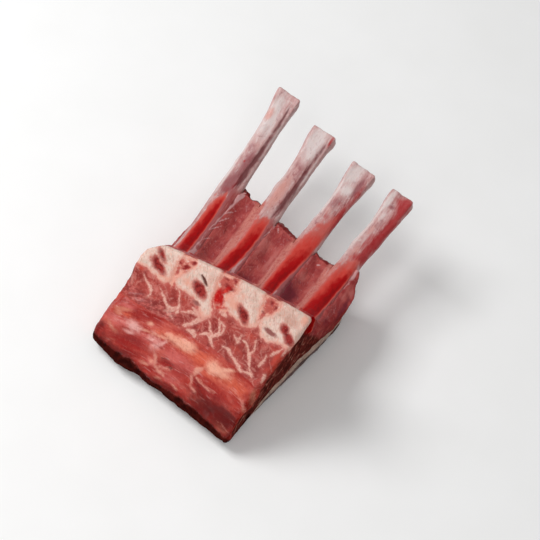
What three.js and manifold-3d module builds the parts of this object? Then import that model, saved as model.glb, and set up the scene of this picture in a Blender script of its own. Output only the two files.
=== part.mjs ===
// Raw rack of lamb: four frenched ribs on a short run of sawn backbone, with the loin meat under
// them, a layer of fat below the meat and a thin cap muscle below the fat. The rack lies on its
// outer side, rib cage side up. Millimetres: +X along the backbone, +Y along the ribs to their
// tips, +Z up. The origin is the bottom centre of the rack's bounding box.
import * as THREE from "three";
import { mergeVertices } from "three/addons/utils/BufferGeometryUtils.js";
import Module from "manifold-3d";

// ---- Driving dimensions ----
// Places are measured in the frame in which the rack is shaped: the backbone's crest runs near
// y = 0, the second and third rib stand either side of x = 0, and z = 0 is the table.

const GAP = 0.3; // clearance between touching pieces

// The saw cut through the backbone is one sloping plane, given by one point and its two slopes.
const SAW_POINT = { x: -48.6, y: -32, z: 9 };
const SAW_RISE_X = 0.2015;
const SAW_RISE_Y = 1.074;

// The saw face runs from the crest of the backbone ridge down to the crease where it turns under.
const CREST_Y_LEFT = 2.6;
const CREST_Y_RIGHT = -1.8;
const CREST_DROP = 2.6; // how far the crest falls off towards the left end
const CREST_DROP_SHARE = 0.06; // over this share of the length
const CREASE_Y_LEFT = -32;
const CREASE_Y_RIGHT = -46.9;
const FRONT_UNDERCUT = 6.5; // from the crease back to where the underside meets the table
const SWELL = 3.2; // the muscle below the saw cut stands out this far from its plane
const SWELL_PLACE = 0.68; // as a share of the way from crest to crease
const SWELL_REACH = 0.32;
const SAW_RIPPLE = 0.3; // height of the soft unevenness of the cut muscle

// Plan outlines of the two cut ends, as [y, x]. The right end is undercut, so it has a second
// outline at the foot, and beside the ribs it bulges at half height.
const LEFT_END = [
  [-47, -49], [-33, -49.2], [-29, -49.2], [-25, -46.9], [-20, -44.2], [-15, -43.2],
  [-9, -44.8], [-3, -44.9], [4, -41.2], [13, -37.2], [25, -36.4], [40, -36.2], [74, -36.6],
];
const RIGHT_END = [
  [-50, 32], [-39, 32.4], [-30, 33.4], [-22, 35.4], [-13, 38.4], [-6, 40.6], [0, 41.2],
  [12, 42], [21, 45], [30, 47.6], [38, 48], [46, 46.6], [52, 44], [60, 41.5],
];
const RIGHT_FOOT = [
  [-50, 31], [-28, 33], [-15, 34.8], [-8, 36], [0, 37.3], [7, 38], [15, 40.2], [21, 42.3],
  [28, 43.8], [40, 44.6], [52, 43], [60, 41.5],
];
const FOOT_HEIGHT = 20; // the undercut has run out at this height
const BELLY = { out: 3.4, y: 13, reachY: 17, z: 16, reachZ: 16 };
const END_ROUNDING = 1.2;

// Rib cage side: a hollow curve along the ribs, flaring up to the backbone. The meat between the
// ribs lies a little below the ribs' inner faces.
const CAGE_LOW = { y: 42, z: 30 };
const CAGE_CURVE = 150; // radius
const CAGE_TILT = 0.066; // rise per millimetre towards the right
const FLARE_FROM_Y = 25;
const FLARE = 0.02;
const MEAT_BELOW_RIBS = 2.3;
const MEAT_SAG = 1.3; // further dip half way between two ribs
const MEAT_RIPPLE = 0.5; // height of its soft unevenness
const VALLEY_Y = 14.5; // foot of the backbone ridge on the rib side

// Free edge of the meat, beyond which the ribs are scraped clean.
const FREE_EDGE_Y = 61.5;
const FREE_EDGE_SKEW = -0.29;
const FREE_EDGE_BEND = 0.0015;
const FREE_EDGE_SCALLOP = 0.8; // it draws back between the ribs
const FREE_EDGE_RAGGED = 1.2;

// Underside: flat where the rack rests, then rising to the free edge.
const FLAT_TO_Y = 25;
const RISE_SLOPE = 0.5;
const RISE_START = 8;

// Fat and cap muscle, one over the other, thickest in the middle and thinning out to both sides.
const LAYERS_Y = 9;
const LAYERS_REACH = 37;
const LAYERS_THICK_LEFT = 12;
const LAYERS_THICK_RIGHT = 20;
const CAP_SHARE = 0.4;

// One entry per rib: x of its axis at the backbone, half way and at the tip, y of the tip, and
// its width along the bare shaft and at the flared tip.
const RIBS = [
  { base: -31.5, half: -32, tip: -30.9, end: 119.4, shaft: 10.4, flare: 14.4 },
  { base: -9.5, half: -9, tip: -6, end: 110.6, shaft: 10.2, flare: 14.4 },
  { base: 13.5, half: 15.6, tip: 20.3, end: 102.8, shaft: 10.6, flare: 14.4 },
  { base: 35.4, half: 37.9, tip: 43.6, end: 99.2, shaft: 10.2, flare: 13.4 },
];
const RIB_SPACING = 23;
const RIB_START_Y = 11.5;
const RIB_THICKNESS = 6.4;
const RIB_WIDTH_IN_MEAT = 12;
const RIB_BARE_FROM = 8; // it narrows to its shaft over this length either side of the free edge
const RIB_FLARE_LENGTH = 20;
const RIB_SQUARENESS = 2.6; // exponent of its superellipse: 2 is an oval, more is squarer
const RIB_END_ROUNDING = 0.7;

// One entry per vertebra, measured along the crest from its left end: where it starts and stops,
// and how far down the saw face it reaches at its left, in the middle and at its right.
const VERTEBRAE = [
  { from: -6, to: 17.6, reach: [9.2, 10.4, 8.6] },
  { from: 17.6, to: 40.6, reach: [9.4, 14.0, 14.4] },
  { from: 40.6, to: 62.6, reach: [11.0, 12.4, 13.0] },
  { from: 62.6, to: 90, reach: [15.0, 17.0, 13.5] },
];
const CREST_START = { x: -42.5, y: 1.3 };
const CREST_RUN_Y = -0.027; // slope of the crest line in plan
const VERTEBRA_DEPTH = 12.5;

const COLOURS = { meat: 0x9c3a36, fat: 0xcdb3a4, cap: 0x7d2b28, rib: 0xc9938c, bone: 0xd9bdb0 };

// Steps along and round the lofts.
const BLOCK_STATIONS = 32;
const SAW_STEPS = 13;
const CAGE_STEPS = 9;
const RIB_STATIONS = 20;
const RIB_SIDES = 14;

// ---- Small tools ----

const wasm = await Module();
wasm.setup();

const { lerp, clamp, smoothstep } = THREE.MathUtils;

// Value at a place along an outline of [place, value] points, straight from point to point.
function alongOutline(outline, place) {
  const next = outline.findIndex(([at]) => at > place);
  if (next === 0) return outline[0][1];
  if (next < 0) return outline.at(-1)[1];
  const [from, start] = outline[next - 1];
  const [to, end] = outline[next];
  return lerp(start, end, (place - from) / (to - from));
}

// A single rounded hill, 1 at its middle and 0 beyond its reach.
function hill(value, middle, reach) {
  const away = (value - middle) / reach;
  return Math.abs(away) < 1 ? (1 + Math.cos(Math.PI * away)) / 2 : 0;
}

// Soft rises and hollows of cut muscle, from -1 to 1.
function unevenness(x, y, z) {
  const along = Math.sin(x * 0.33 + Math.sin(y * 0.21 + 1.3) * 1.7 + z * 0.14);
  const across = Math.sin(y * 0.39 + Math.sin(x * 0.17 + 4.1) * 1.9 - z * 0.22);
  const small = Math.sin((x + y) * 0.71 + z * 0.5 + 2.2);
  return 0.45 * along + 0.35 * across + 0.2 * small;
}

function solidFrom(geometry) {
  const bare = geometry.clone();
  bare.deleteAttribute("normal");
  bare.deleteAttribute("uv");
  const merged = mergeVertices(bare, 1e-4);
  return new wasm.Manifold(
    new wasm.Mesh({
      numProp: 3,
      vertProperties: merged.attributes.position.array,
      triVerts: new Uint32Array(merged.index.array),
    }),
  );
}

function geometryFrom(solid) {
  const mesh = solid.getMesh();
  const geometry = new THREE.BufferGeometry();
  geometry.setAttribute("position", new THREE.BufferAttribute(mesh.vertProperties, 3));
  geometry.setIndex(new THREE.BufferAttribute(mesh.triVerts, 1));
  geometry.computeVertexNormals();
  return geometry;
}

function largestBody(solid) {
  return solid.decompose().reduce((a, b) => (b.volume() > a.volume() ? b : a));
}

// Triangles of a ring's flat lid, all turned the way the ring runs. It is seen on two axes.
function lidFaces(ring, [u, v]) {
  const flat = ring.map((point) => new THREE.Vector2(point[u], point[v]));
  const turn = Math.sign(THREE.ShapeUtils.area(flat));
  return THREE.ShapeUtils.triangulateShape(flat, []).map((face) =>
    Math.sign(THREE.ShapeUtils.area(face.map((i) => flat[i]))) === turn ? face : face.toReversed(),
  );
}

// Closed solid lofted through rings of equally many [x, y, z] points.
function loft(rings, lidAxes) {
  const sides = rings[0].length;
  const last = (rings.length - 1) * sides;
  const faces = lidFaces(rings[0], lidAxes).map((face) => face.toReversed());
  for (const face of lidFaces(rings.at(-1), lidAxes)) faces.push(face.map((i) => i + last));
  for (let start = 0; start < last; start += sides) {
    for (let k = 0; k < sides; k++) {
      const a = start + k;
      const b = start + ((k + 1) % sides);
      faces.push([a, b, b + sides], [a, b + sides, a + sides]);
    }
  }
  const geometry = new THREE.BufferGeometry();
  geometry.setAttribute("position", new THREE.Float32BufferAttribute(rings.flat(2), 3));
  geometry.setIndex(faces.flat());
  const solid = solidFrom(geometry);
  if (solid.volume() > 0) return solid;
  geometry.setIndex(faces.flatMap((face) => face.toReversed())); // it was inside out
  return solidFrom(geometry);
}

// ---- Surfaces that the pieces share ----

const sawNormal = new THREE.Vector3(-SAW_RISE_X, -SAW_RISE_Y, 1).normalize();
const sawHeight = (x, y) =>
  SAW_POINT.z + SAW_RISE_X * (x - SAW_POINT.x) + SAW_RISE_Y * (y - SAW_POINT.y);

const crestY = (share) =>
  lerp(CREST_Y_LEFT, CREST_Y_RIGHT, share ** 2) -
  CREST_DROP * (1 - smoothstep(share, 0, CREST_DROP_SHARE));
const creaseY = (share) => lerp(CREASE_Y_LEFT, CREASE_Y_RIGHT, share);

// X of a point that lies a share of the way from the left end to the right end.
function xAt(share, y, z) {
  const belly = BELLY.out * hill(y, BELLY.y, BELLY.reachY) * hill(z, BELLY.z, BELLY.reachZ);
  const clearOfFoot = smoothstep(z, 0, FOOT_HEIGHT);
  const right = lerp(alongOutline(RIGHT_FOOT, y), alongOutline(RIGHT_END, y), clearOfFoot);
  return lerp(alongOutline(LEFT_END, y), right + belly, share);
}

function ribAxisX(rib, y) {
  const along = clamp((y - RIB_START_Y) / (rib.end - RIB_START_Y), 0, 1);
  const bow = rib.half - (rib.base + rib.tip) / 2;
  return lerp(rib.base, rib.tip, along) + 4 * bow * along * (1 - along);
}

// Height of the ribs' inner faces.
function cageHeight(x, y) {
  const curve = (y - CAGE_LOW.y) ** 2 / (2 * CAGE_CURVE);
  const flare = FLARE * Math.max(0, FLARE_FROM_Y - y) ** 2;
  return CAGE_LOW.z + curve + flare + CAGE_TILT * (x - RIBS[0].base);
}

// 0 on a rib, 1 half way between two ribs and beyond the last one.
function betweenRibs(x, y) {
  const nearest = Math.min(...RIBS.map((rib) => Math.abs(x - ribAxisX(rib, y))));
  return smoothstep(nearest, RIB_WIDTH_IN_MEAT / 2, RIB_SPACING / 2);
}

function meatHeight(x, y) {
  const sag = MEAT_BELOW_RIBS + MEAT_SAG * betweenRibs(x, y);
  return cageHeight(x, y) - sag + MEAT_RIPPLE * unevenness(x, y, 0);
}

function freeEdgeY(x) {
  const line = FREE_EDGE_Y + FREE_EDGE_SKEW * x + FREE_EDGE_BEND * x ** 2;
  const scallop = FREE_EDGE_SCALLOP * betweenRibs(x, line);
  return line - scallop + FREE_EDGE_RAGGED * unevenness(2.3 * x, 7, 0);
}

const undersideHeight = (y) =>
  RISE_SLOPE * (Math.hypot(Math.max(0, y - FLAT_TO_Y), RISE_START) - RISE_START);

function layersHeight(x, y, part) {
  const share = clamp((x - LEFT_END[0][1]) / (RIBS.at(-1).base - LEFT_END[0][1]), 0, 1);
  const dome = Math.max(-1, 1 - ((y - LAYERS_Y) / LAYERS_REACH) ** 2);
  return undersideHeight(y) + part * dome * lerp(LAYERS_THICK_LEFT, LAYERS_THICK_RIGHT, share);
}

// ---- The block: meat, fat, cap muscle and backbone in one outer shape ----

// One cross-section, down the saw face, under the block and back over the rib cage side.
function blockRing(share) {
  const ring = [];
  const add = (y, z) => ring.push([xAt(share, y, z), y, z]);
  const crest = crestY(share);
  const crease = creaseY(share);

  for (let k = 0; k <= SAW_STEPS; k++) {
    const down = k / SAW_STEPS;
    const y = lerp(crest, crease, down);
    const z = sawHeight(xAt(share, y, FOOT_HEIGHT), y);
    const x = xAt(share, y, z);
    const swell = SWELL * hill(down, SWELL_PLACE, SWELL_REACH) + SAW_RIPPLE * unevenness(x, y, 0);
    const lift = swell * smoothstep(down, 0.25, 0.4) * smoothstep(1 - down, 0, 0.1);
    ring.push([x + lift * sawNormal.x, y + lift * sawNormal.y, z + lift * sawNormal.z]);
  }
  const creaseZ = ring.at(-1)[2];

  // Turned-under front edge: nearly upright, then rounded on to the table.
  add(crease - 0.6, creaseZ - 2.4);
  add(crease + 0.4, creaseZ - 5.4);
  add(crease + 3, 1.2);
  add(crease + FRONT_UNDERCUT, 0);

  const flatSteps = 5;
  for (let k = 1; k <= flatSteps; k++) {
    add(lerp(crease + FRONT_UNDERCUT, FLAT_TO_Y, k / flatSteps), 0);
  }

  const edge = freeEdgeY(xAt(share, FREE_EDGE_Y, CAGE_LOW.z));
  const riseSteps = 4;
  for (let k = 1; k <= riseSteps; k++) {
    const y = lerp(FLAT_TO_Y, edge - 3, k / riseSteps);
    add(y, undersideHeight(y));
  }
  const topX = xAt(share, edge, CAGE_LOW.z);
  const low = ring.at(-1)[2];
  const high = meatHeight(topX, edge - 2.4);
  add(edge - 0.7, lerp(low, high, 0.2));
  add(edge, lerp(low, high, 0.55));
  add(edge - 0.6, lerp(low, high, 0.88));

  for (let k = 0; k <= CAGE_STEPS; k++) {
    const y = lerp(edge - 2.4, VALLEY_Y, k / CAGE_STEPS);
    add(y, meatHeight(xAt(share, y, CAGE_LOW.z), y));
  }

  const valley = ring.at(-1)[2];
  const top = ring[0][2];
  const ridgeSteps = 4;
  for (let k = 1; k <= ridgeSteps; k++) {
    const up = k / ridgeSteps;
    add(lerp(VALLEY_Y, crest + 1.7, up), lerp(valley, top - 0.5, smoothstep(up, -0.15, 1)));
  }
  return ring;
}

// The same ring drawn in towards its middle, for the rounded rims of the cut ends.
function drawnIn(ring, by) {
  const middle = [1, 2].map((axis) => ring.reduce((sum, p) => sum + p[axis], 0) / ring.length);
  return ring.map(([x, y, z]) => {
    const away = new THREE.Vector2(y - middle[0], z - middle[1]);
    away.setLength(Math.max(0, away.length() - by));
    return [x, middle[0] + away.x, Math.max(z === 0 ? 0 : -Infinity, middle[1] + away.y)];
  });
}

function makeBlock() {
  const rimShare = END_ROUNDING / (RIGHT_END[0][1] - LEFT_END[0][1]);
  const rings = [drawnIn(blockRing(0), END_ROUNDING)];
  for (let i = 0; i <= BLOCK_STATIONS; i++) {
    rings.push(blockRing(lerp(rimShare, 1 - rimShare, i / BLOCK_STATIONS)));
  }
  rings.push(drawnIn(blockRing(1), END_ROUNDING));
  return loft(rings, [1, 2]);
}

// Everything under one of the layers' surfaces, cut well outside the block.
function makeUnder(part, shift) {
  const [left, right, front, back, deep] = [-60, 60, -70, 90, -50];
  const [columns, rows] = [12, 40];
  const rings = [];
  for (let i = 0; i <= columns; i++) {
    const x = lerp(left, right, i / columns);
    const ring = [[x, front, deep]];
    for (let k = 0; k <= rows; k++) {
      const y = lerp(front, back, k / rows);
      ring.push([x, y, layersHeight(x, y, part) + shift]);
    }
    ring.push([x, back, deep]);
    rings.push(ring);
  }
  return loft(rings, [1, 2]);
}

// ---- Ribs ----

// A rib is a flat oval bar, wide in the meat, slimmer where it is scraped bare and flared at its
// sawn tip. Each section stands upright and square to Y, as its tip is cut. grow widens it for
// the groove it lies in.
function makeRib(rib, grow) {
  const bareY = freeEdgeY(ribAxisX(rib, FREE_EDGE_Y));
  const start = RIB_START_Y - grow;
  const end = rib.end + grow;
  const rings = [];
  for (let i = 0; i <= RIB_STATIONS + 1; i++) {
    const y = i > RIB_STATIONS ? end : lerp(start, end - RIB_END_ROUNDING, i / RIB_STATIONS);
    const axisX = ribAxisX(rib, y);
    const bare = smoothstep(y, bareY - RIB_BARE_FROM, bareY + RIB_BARE_FROM);
    const tip = smoothstep(y, rib.end - RIB_FLARE_LENGTH, rib.end);
    const width = lerp(lerp(RIB_WIDTH_IN_MEAT, rib.shaft, bare), rib.flare, tip);
    const thickness = RIB_THICKNESS * (1 + 0.12 * tip);
    const rounding = i > RIB_STATIONS ? RIB_END_ROUNDING : 0;
    const halfWidth = width / 2 + grow - rounding;
    const halfHeight = thickness / 2 + grow - rounding;
    const axisZ = cageHeight(axisX, y) - RIB_THICKNESS / 2;
    rings.push(
      Array.from({ length: RIB_SIDES }, (_, k) => {
        const angle = (2 * Math.PI * k) / RIB_SIDES;
        const round = (value) => Math.sign(value) * Math.abs(value) ** (2 / RIB_SQUARENESS);
        return [
          axisX + halfWidth * round(Math.cos(angle)),
          y,
          axisZ + halfHeight * round(Math.sin(angle)),
        ];
      }),
    );
  }
  return loft(rings, [0, 2]);
}

// ---- Vertebrae ----

// A vertebra is sawn off along the face, so it is a slab of bone with its outline on that face,
// sunk into the ridge. grow is negative for the bone and positive for its socket in the meat.
function makeVertebraSlab({ from, to, reach }, grow) {
  const corner = 3;
  const above = -10;
  const middle = (from + to) / 2;
  const shape = new THREE.Shape();
  shape.moveTo(from - grow, above);
  shape.lineTo(from - grow, reach[0] - corner);
  shape.splineThru([
    new THREE.Vector2(from + corner, reach[0] + grow),
    new THREE.Vector2(middle, reach[1] + grow),
    new THREE.Vector2(to - corner, reach[2] + grow),
    new THREE.Vector2(to + grow, reach[2] - corner),
  ]);
  shape.lineTo(to + grow, above);
  const stickOut = 3;
  const slab = new THREE.ExtrudeGeometry(shape, {
    depth: VERTEBRA_DEPTH + grow + stickOut,
    bevelEnabled: false,
    curveSegments: 4,
    steps: 1,
  });
  slab.translate(0, 0, -stickOut);

  const along = new THREE.Vector3(1, CREST_RUN_Y, SAW_RISE_X + CREST_RUN_Y * SAW_RISE_Y).normalize();
  const into = sawNormal.clone().negate();
  const down = into.clone().cross(along);
  const place = new THREE.Matrix4().makeBasis(along, down, into);
  place.setPosition(CREST_START.x, CREST_START.y, sawHeight(CREST_START.x, CREST_START.y));
  return solidFrom(slab.applyMatrix4(place));
}

// ---- Assembly ----

const joined = (solids) => solids.reduce((all, solid) => all.add(solid));

const block = makeBlock();
const grooves = joined(RIBS.map((rib) => makeRib(rib, GAP)));
const sockets = joined(VERTEBRAE.map((vertebra) => makeVertebraSlab(vertebra, GAP / 2)));

const meat = block.subtract(makeUnder(1, GAP / 2)).subtract(sockets).subtract(grooves);
const belowMeat = block.intersect(makeUnder(1, -GAP / 2));
const fat = belowMeat.subtract(makeUnder(CAP_SHARE, GAP / 2));
const cap = belowMeat.intersect(makeUnder(CAP_SHARE, -GAP / 2));

const rack = new THREE.Group();

function addPiece(name, solid, color, roughness) {
  const material = new THREE.MeshStandardMaterial({ color, roughness, metalness: 0 });
  const mesh = new THREE.Mesh(geometryFrom(largestBody(solid)), material);
  mesh.name = name;
  rack.add(mesh);
}

addPiece("meat", meat, COLOURS.meat, 0.45);
addPiece("fat_layer", fat, COLOURS.fat, 0.5);
addPiece("cap_muscle", cap, COLOURS.cap, 0.45);
RIBS.forEach((rib, i) => addPiece(`rib_${i + 1}`, makeRib(rib, 0), COLOURS.rib, 0.4));
VERTEBRAE.forEach((vertebra, i) => {
  const bone = block.intersect(makeVertebraSlab(vertebra, -GAP / 2)).subtract(grooves);
  addPiece(`vertebra_${i + 1}`, bone, COLOURS.bone, 0.5);
});

// The rack is moved so that the bottom centre of its box is the origin.
const box = new THREE.Box3().setFromObject(rack, true);
const middle = box.getCenter(new THREE.Vector3());
rack.position.set(-middle.x, -middle.y, -box.min.z);

const root = new THREE.Group();
root.add(rack);

export default root;
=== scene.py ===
"""Raw rack of lamb: four frenched ribs on sawn backbone, lying rib cage side up on a pale table.

Sizes are in millimetres unless a name says otherwise, and become metres where a mesh is made.
+X runs along the backbone, +Y along the ribs towards their tips and +Z up.
"""

import math

import bmesh
import bpy
import numpy as np
from mathutils import Matrix, Vector
from mathutils.kdtree import KDTree


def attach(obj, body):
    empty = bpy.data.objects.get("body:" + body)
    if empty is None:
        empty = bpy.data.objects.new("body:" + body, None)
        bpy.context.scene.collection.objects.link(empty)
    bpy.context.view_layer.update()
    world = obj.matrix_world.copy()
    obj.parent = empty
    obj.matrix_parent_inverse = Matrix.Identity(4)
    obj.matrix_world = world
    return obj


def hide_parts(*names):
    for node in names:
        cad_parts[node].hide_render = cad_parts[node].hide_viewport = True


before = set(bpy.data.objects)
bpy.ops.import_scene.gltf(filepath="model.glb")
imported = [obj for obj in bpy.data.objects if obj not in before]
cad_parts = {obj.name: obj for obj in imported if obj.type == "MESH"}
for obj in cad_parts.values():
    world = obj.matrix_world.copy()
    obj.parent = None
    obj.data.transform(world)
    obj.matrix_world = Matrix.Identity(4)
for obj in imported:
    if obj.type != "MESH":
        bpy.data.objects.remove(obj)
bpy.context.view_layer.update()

# ---- The sawn joint ----
# Muscle, fat and backbone come off the saddle as one block, sawn down its sloping front. The block
# is shaped and made uneven in one go, so that muscle, fat and bone meet flush where the saw and the
# knife went through them, and only then is it parted into its pieces.

MM = 0.001
BLOCK_NODES = ["meat", "fat_layer", "cap_muscle"] + [f"vertebra_{i}" for i in range(1, 5)]
BLOCK_GRAIN = 0.55  # distance between the points of the block's skin
FAR = 9.0  # a distance that counts as well outside a mark
GAP_CLOSED = 0.22  # how far each solid grows to close the gaps between them

# The saw face: its left corner on the crest, and the directions along the crest and out of the cut.
FACE_CORNER = np.array([-42.97, -34.76, 46])
FACE_OUT = np.array([-0.2015, -1.074, 1])
FACE_OUT /= np.linalg.norm(FACE_OUT)
FACE_ALONG = np.array([1, -0.027, 0.1725])
FACE_ALONG /= np.linalg.norm(FACE_ALONG)
FACE_DOWN = np.cross(-FACE_OUT, FACE_ALONG)

rolls = np.random.default_rng(7).uniform(-1, 1, 4096)


def lumps(place, size, seed=0):
    """Soft random rises and hollows of about this size, from -1 to 1."""
    cell = place / size + 31.7 * seed
    low = np.floor(cell).astype(np.int64)
    part = cell - low
    ease = part * part * (3 - 2 * part)
    total = np.zeros(len(place))
    for corner in np.ndindex(2, 2, 2):
        keys = (low + corner) * (73856093, 19349663, 83492791)
        weight = np.prod(np.where(corner, ease, 1 - ease), axis=1)
        total += rolls[np.bitwise_xor.reduce(keys, axis=1) % len(rolls)] * weight
    return total


def ease_in(value, low, high):
    """0 below low, 1 above high and smooth between; low may be the larger one."""
    share = np.clip((value - low) / (high - low), 0, 1)
    return share * share * (3 - 2 * share)


def read(items, what, wide=1, kind=np.float32):
    """One property of all the vertices, edges or the like of a mesh, so many numbers wide."""
    flat = np.empty(wide * len(items), kind)
    items.foreach_get(what, flat)
    return flat.reshape(-1, wide) if wide > 1 else flat


def points_of(mesh):
    return read(mesh.vertices, "co", 3).astype(float) / MM


def normals_of(mesh):
    return read(mesh.vertex_normals, "vector", 3).astype(float)


def set_points(mesh, points):
    mesh.vertices.foreach_set("co", (points * MM).astype(np.float32).ravel())
    mesh.update()


def keep_on(mesh, masks):
    """Stores named numbers, or (x, y, z), for each point of the mesh, for its material to read."""
    for name, values in masks.items():
        values = np.asarray(values, np.float32)
        kind, slot = ("FLOAT_VECTOR", "vector") if values.ndim == 2 else ("FLOAT", "value")
        mesh.attributes.new(name, kind, "POINT").data.foreach_set(slot, values.ravel())


def mesh_of(name, shape):
    """The mesh of a shape that is finished with."""
    mesh = bpy.data.meshes.new(name)
    shape.to_mesh(mesh)
    shape.free()
    return mesh


def shown(name, mesh):
    piece = bpy.data.objects.new(name, mesh)
    bpy.context.collection.objects.link(piece)
    return piece


def with_modifiers(piece):
    """The piece's mesh after its modifiers, which are then taken off."""
    mesh = bpy.data.meshes.new_from_object(
        piece.evaluated_get(bpy.context.evaluated_depsgraph_get())
    )
    piece.modifiers.clear()
    return mesh


def skin_round(name, nodes, grow, grain):
    """One closed skin of even grain round the named solids."""
    shape = bmesh.new()
    for node in nodes:
        shape.from_mesh(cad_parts[node].data)
    bmesh.ops.remove_doubles(shape, verts=shape.verts, dist=0.001 * MM)
    shape.normal_update()
    for vertex in shape.verts:
        vertex.co += vertex.normal * grow * MM
    blank = shown(name, mesh_of(name, shape))
    even = blank.modifiers.new("even grain", "REMESH")
    even.mode = "VOXEL"
    even.voxel_size = grain * MM
    mesh = with_modifiers(blank)
    bpy.data.objects.remove(blank)
    return mesh


def soften(mesh, rounds):
    """Smooths the edges of a skin without shrinking it."""
    a, b = read(mesh.edges, "vertices", 2, np.int32).T
    points = points_of(mesh)
    count = np.bincount(np.concatenate([a, b]), minlength=len(points))
    for step in [0.5, -0.53] * rounds:
        mean = np.empty_like(points)
        for axis in range(3):
            near = np.bincount(a, points[b, axis], len(points))
            near += np.bincount(b, points[a, axis], len(points))
            mean[:, axis] = near / count
        points += step * (mean - points)
    set_points(mesh, points)


def on_line(value, stations):
    """Reads a line that is given by its stations (value, height)."""
    return np.interp(value, *zip(*stations))


def strands(place, lines):
    """Distance from the nearest of several tapering lines, whose stations are (x, y, half width)."""
    best = np.full(len(place), np.inf)
    for line in lines:
        for (x1, y1, half1), (x2, y2, half2) in zip(line, line[1:]):
            run = np.array([x2 - x1, y2 - y1])
            away = place - (x1, y1)
            share = np.clip(away @ run / (run @ run), 0, 1)
            gap = np.hypot(*(away - share[:, None] * run).T)
            best = np.minimum(best, gap - half1 - share * (half2 - half1))
    return best


def inside_outline(place, outline):
    """Distance of each 2-D place from a closed outline, negative inside it."""
    x, y = place.T
    inside = np.zeros(len(place), bool)
    corners = list(zip(outline, outline[1:] + outline[:1]))
    for (x1, y1), (x2, y2) in corners:
        crosses = (y1 > y) != (y2 > y)
        inside ^= crosses & (x < x1 + (y - y1) * (x2 - x1) / (y2 - y1 + 1e-9))
    distance = strands(place, [[(*start, 0), (*end, 0)] for start, end in corners])
    return np.where(inside, -distance, distance)


def reach_of(place, x, y, half_long, half_wide, turn=0):
    """0 in the middle of an oval and 1 on its rim; turn is in degrees."""
    c, s = math.cos(math.radians(turn)), math.sin(math.radians(turn))
    dx, dy = place[:, 0] - x, place[:, 1] - y
    return np.hypot((c * dx + s * dy) / half_long, (c * dy - s * dx) / half_wide)


def ovals(place, spots):
    """About the distance from the nearest oval's rim, negative inside."""
    rims = [(reach_of(place, *spot) - 1) * min(spot[2], spot[3]) for spot in spots]
    return np.min(rims, axis=0)


def washes(place, spots, spread=1):
    """Soft blots (x, y, half length, half width, strength, turn) that melt together, from 0 to 1."""
    left_over = np.ones(len(place))
    for x, y, half_long, half_wide, strength, *turn in spots:
        reach = reach_of(place, x, y, half_long, half_wide, *turn) / spread
        left_over *= 1 - strength * np.exp(-1.3 * reach ** 2)
    return 1 - left_over


# Places on the saw face are (along the crest, down from it), measured along one slanting line of
# sight, so that they also hold for the flesh that lies behind the face or bulges out of it.
LINE_OF_SIGHT = np.array([0.152, -0.568, 0.809])
# Outlines of the four sawn vertebrae.
BONE_OUTLINES = [
    [(-8, 4), (-2, -9), (18, -9), (17, -2), (15.6, 2), (15, 8), (15.6, 11), (13, 13), (8, 11.8),
     (3, 10.2), (-8, 9)],
    [(24.6, -9), (39, -9), (37.6, 0), (36.9, 6), (37.6, 12), (39.8, 15.6), (39.2, 19), (36.2, 20.6),
     (33.6, 18.4), (32.2, 15.4), (28.5, 13.8), (22.3, 12.4), (18, 11.4), (17.3, 8.6), (20.5, 5.2),
     (24, 0.5)],
    [(46.6, -9), (61.4, -9), (60.9, 1), (60.4, 6), (61.4, 9), (62.6, 12.8), (60, 15.2), (56, 16.2),
     (51.5, 14.9), (47, 13), (44.2, 12.4), (43.4, 9.6), (45.6, 6), (48, 2.4), (47.2, -1)],
    [(69, -9), (86, -9), (86, 10), (82.4, 14.5), (80.2, 17.6), (76, 16.8), (72.6, 17.4), (69, 18.2),
     (65.6, 17.2), (63.8, 14.6), (61.8, 12), (63.2, 8.8), (67.4, 4.8), (69.6, 1.6)],
]
# Marrow in them: middle, half length, half width and turn of each oval.
MARROW = [
    (7.2, 6.8, 4.3, 1.9, 26), (5.6, 5.2, 2.2, 1.4, 50), (7, 1.5, 2.9, 1.1, 42), (30.2, 9, 4.3, 2.4, 38),
    (54, 11.3, 4.3, 2, 46), (74.8, 9.6, 2.3, 1.9, 50), (78.3, 13, 2.9, 2, 36), (76.4, 11.6, 1.8, 1, 40),
]
# A slit beside one of them (places and half widths) and two grey ovals.
SLITS = [[(28.9, 2.5, 0.2), (30.6, 3.8, 0.55), (31.8, 5, 0.5), (32.9, 6.2, 0.15)]]
GREY_MARROW = [(69, 13.5, 3.7, 1.2, 14), (31.2, 15.4, 2.2, 0.9, 14)]
# The spongy ends between them: red in soft blots, some of them dark, and a bright clot.
SPONGE_REDS = [
    (20, -0.6, 3.4, 3, 0.25, -30), (21.4, 4.4, 3, 1.4, 0.5, -50), (23.4, -1.4, 2.2, 1.3, 0.9, -38),
    (19.9, 2.2, 2.3, 1.4, 1, -32), (17.4, 0.4, 1.2, 1.8, 0.8), (17, 5.6, 1.1, 3.4, 0.7),
    (18, 11.6, 1.3, 1.3, 0.8), (12, -3.4, 1.3, 0.8, 0.5), (14.4, 11.6, 1, 0.8, 0.5),
    (42.2, 1.4, 4.4, 2.6, 1, 10), (45.3, -1.4, 2, 1.5, 0.8), (40.6, 5, 1.7, 3.2, 0.8),
    (49, 0.8, 1.3, 0.8, 0.6, -40), (41.6, 14.6, 1.6, 2.6, 0.7), (65, 2.4, 3.8, 4, 1),
    (63, 8.4, 1.2, 2.4, 0.8, 10), (62.8, 14.4, 0.9, 1.3, 0.8),
]
BLOTS = [
    (17, 0.9, 0.8, 0.6, 60), (20.2, 2.1, 1.7, 0.9, -38), (23.4, -1.3, 1.3, 0.8, -30),
    (43.4, 2.8, 2.6, 1.1, 12), (45.4, -1.2, 1.3, 0.6, 40), (41, -0.2, 1.4, 0.5, 20),
    (65.4, 1.2, 1.1, 0.6, 40), (62.9, 6.4, 0.9, 0.5, 60), (67.8, 2.2, 0.6, 1),
]
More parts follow.
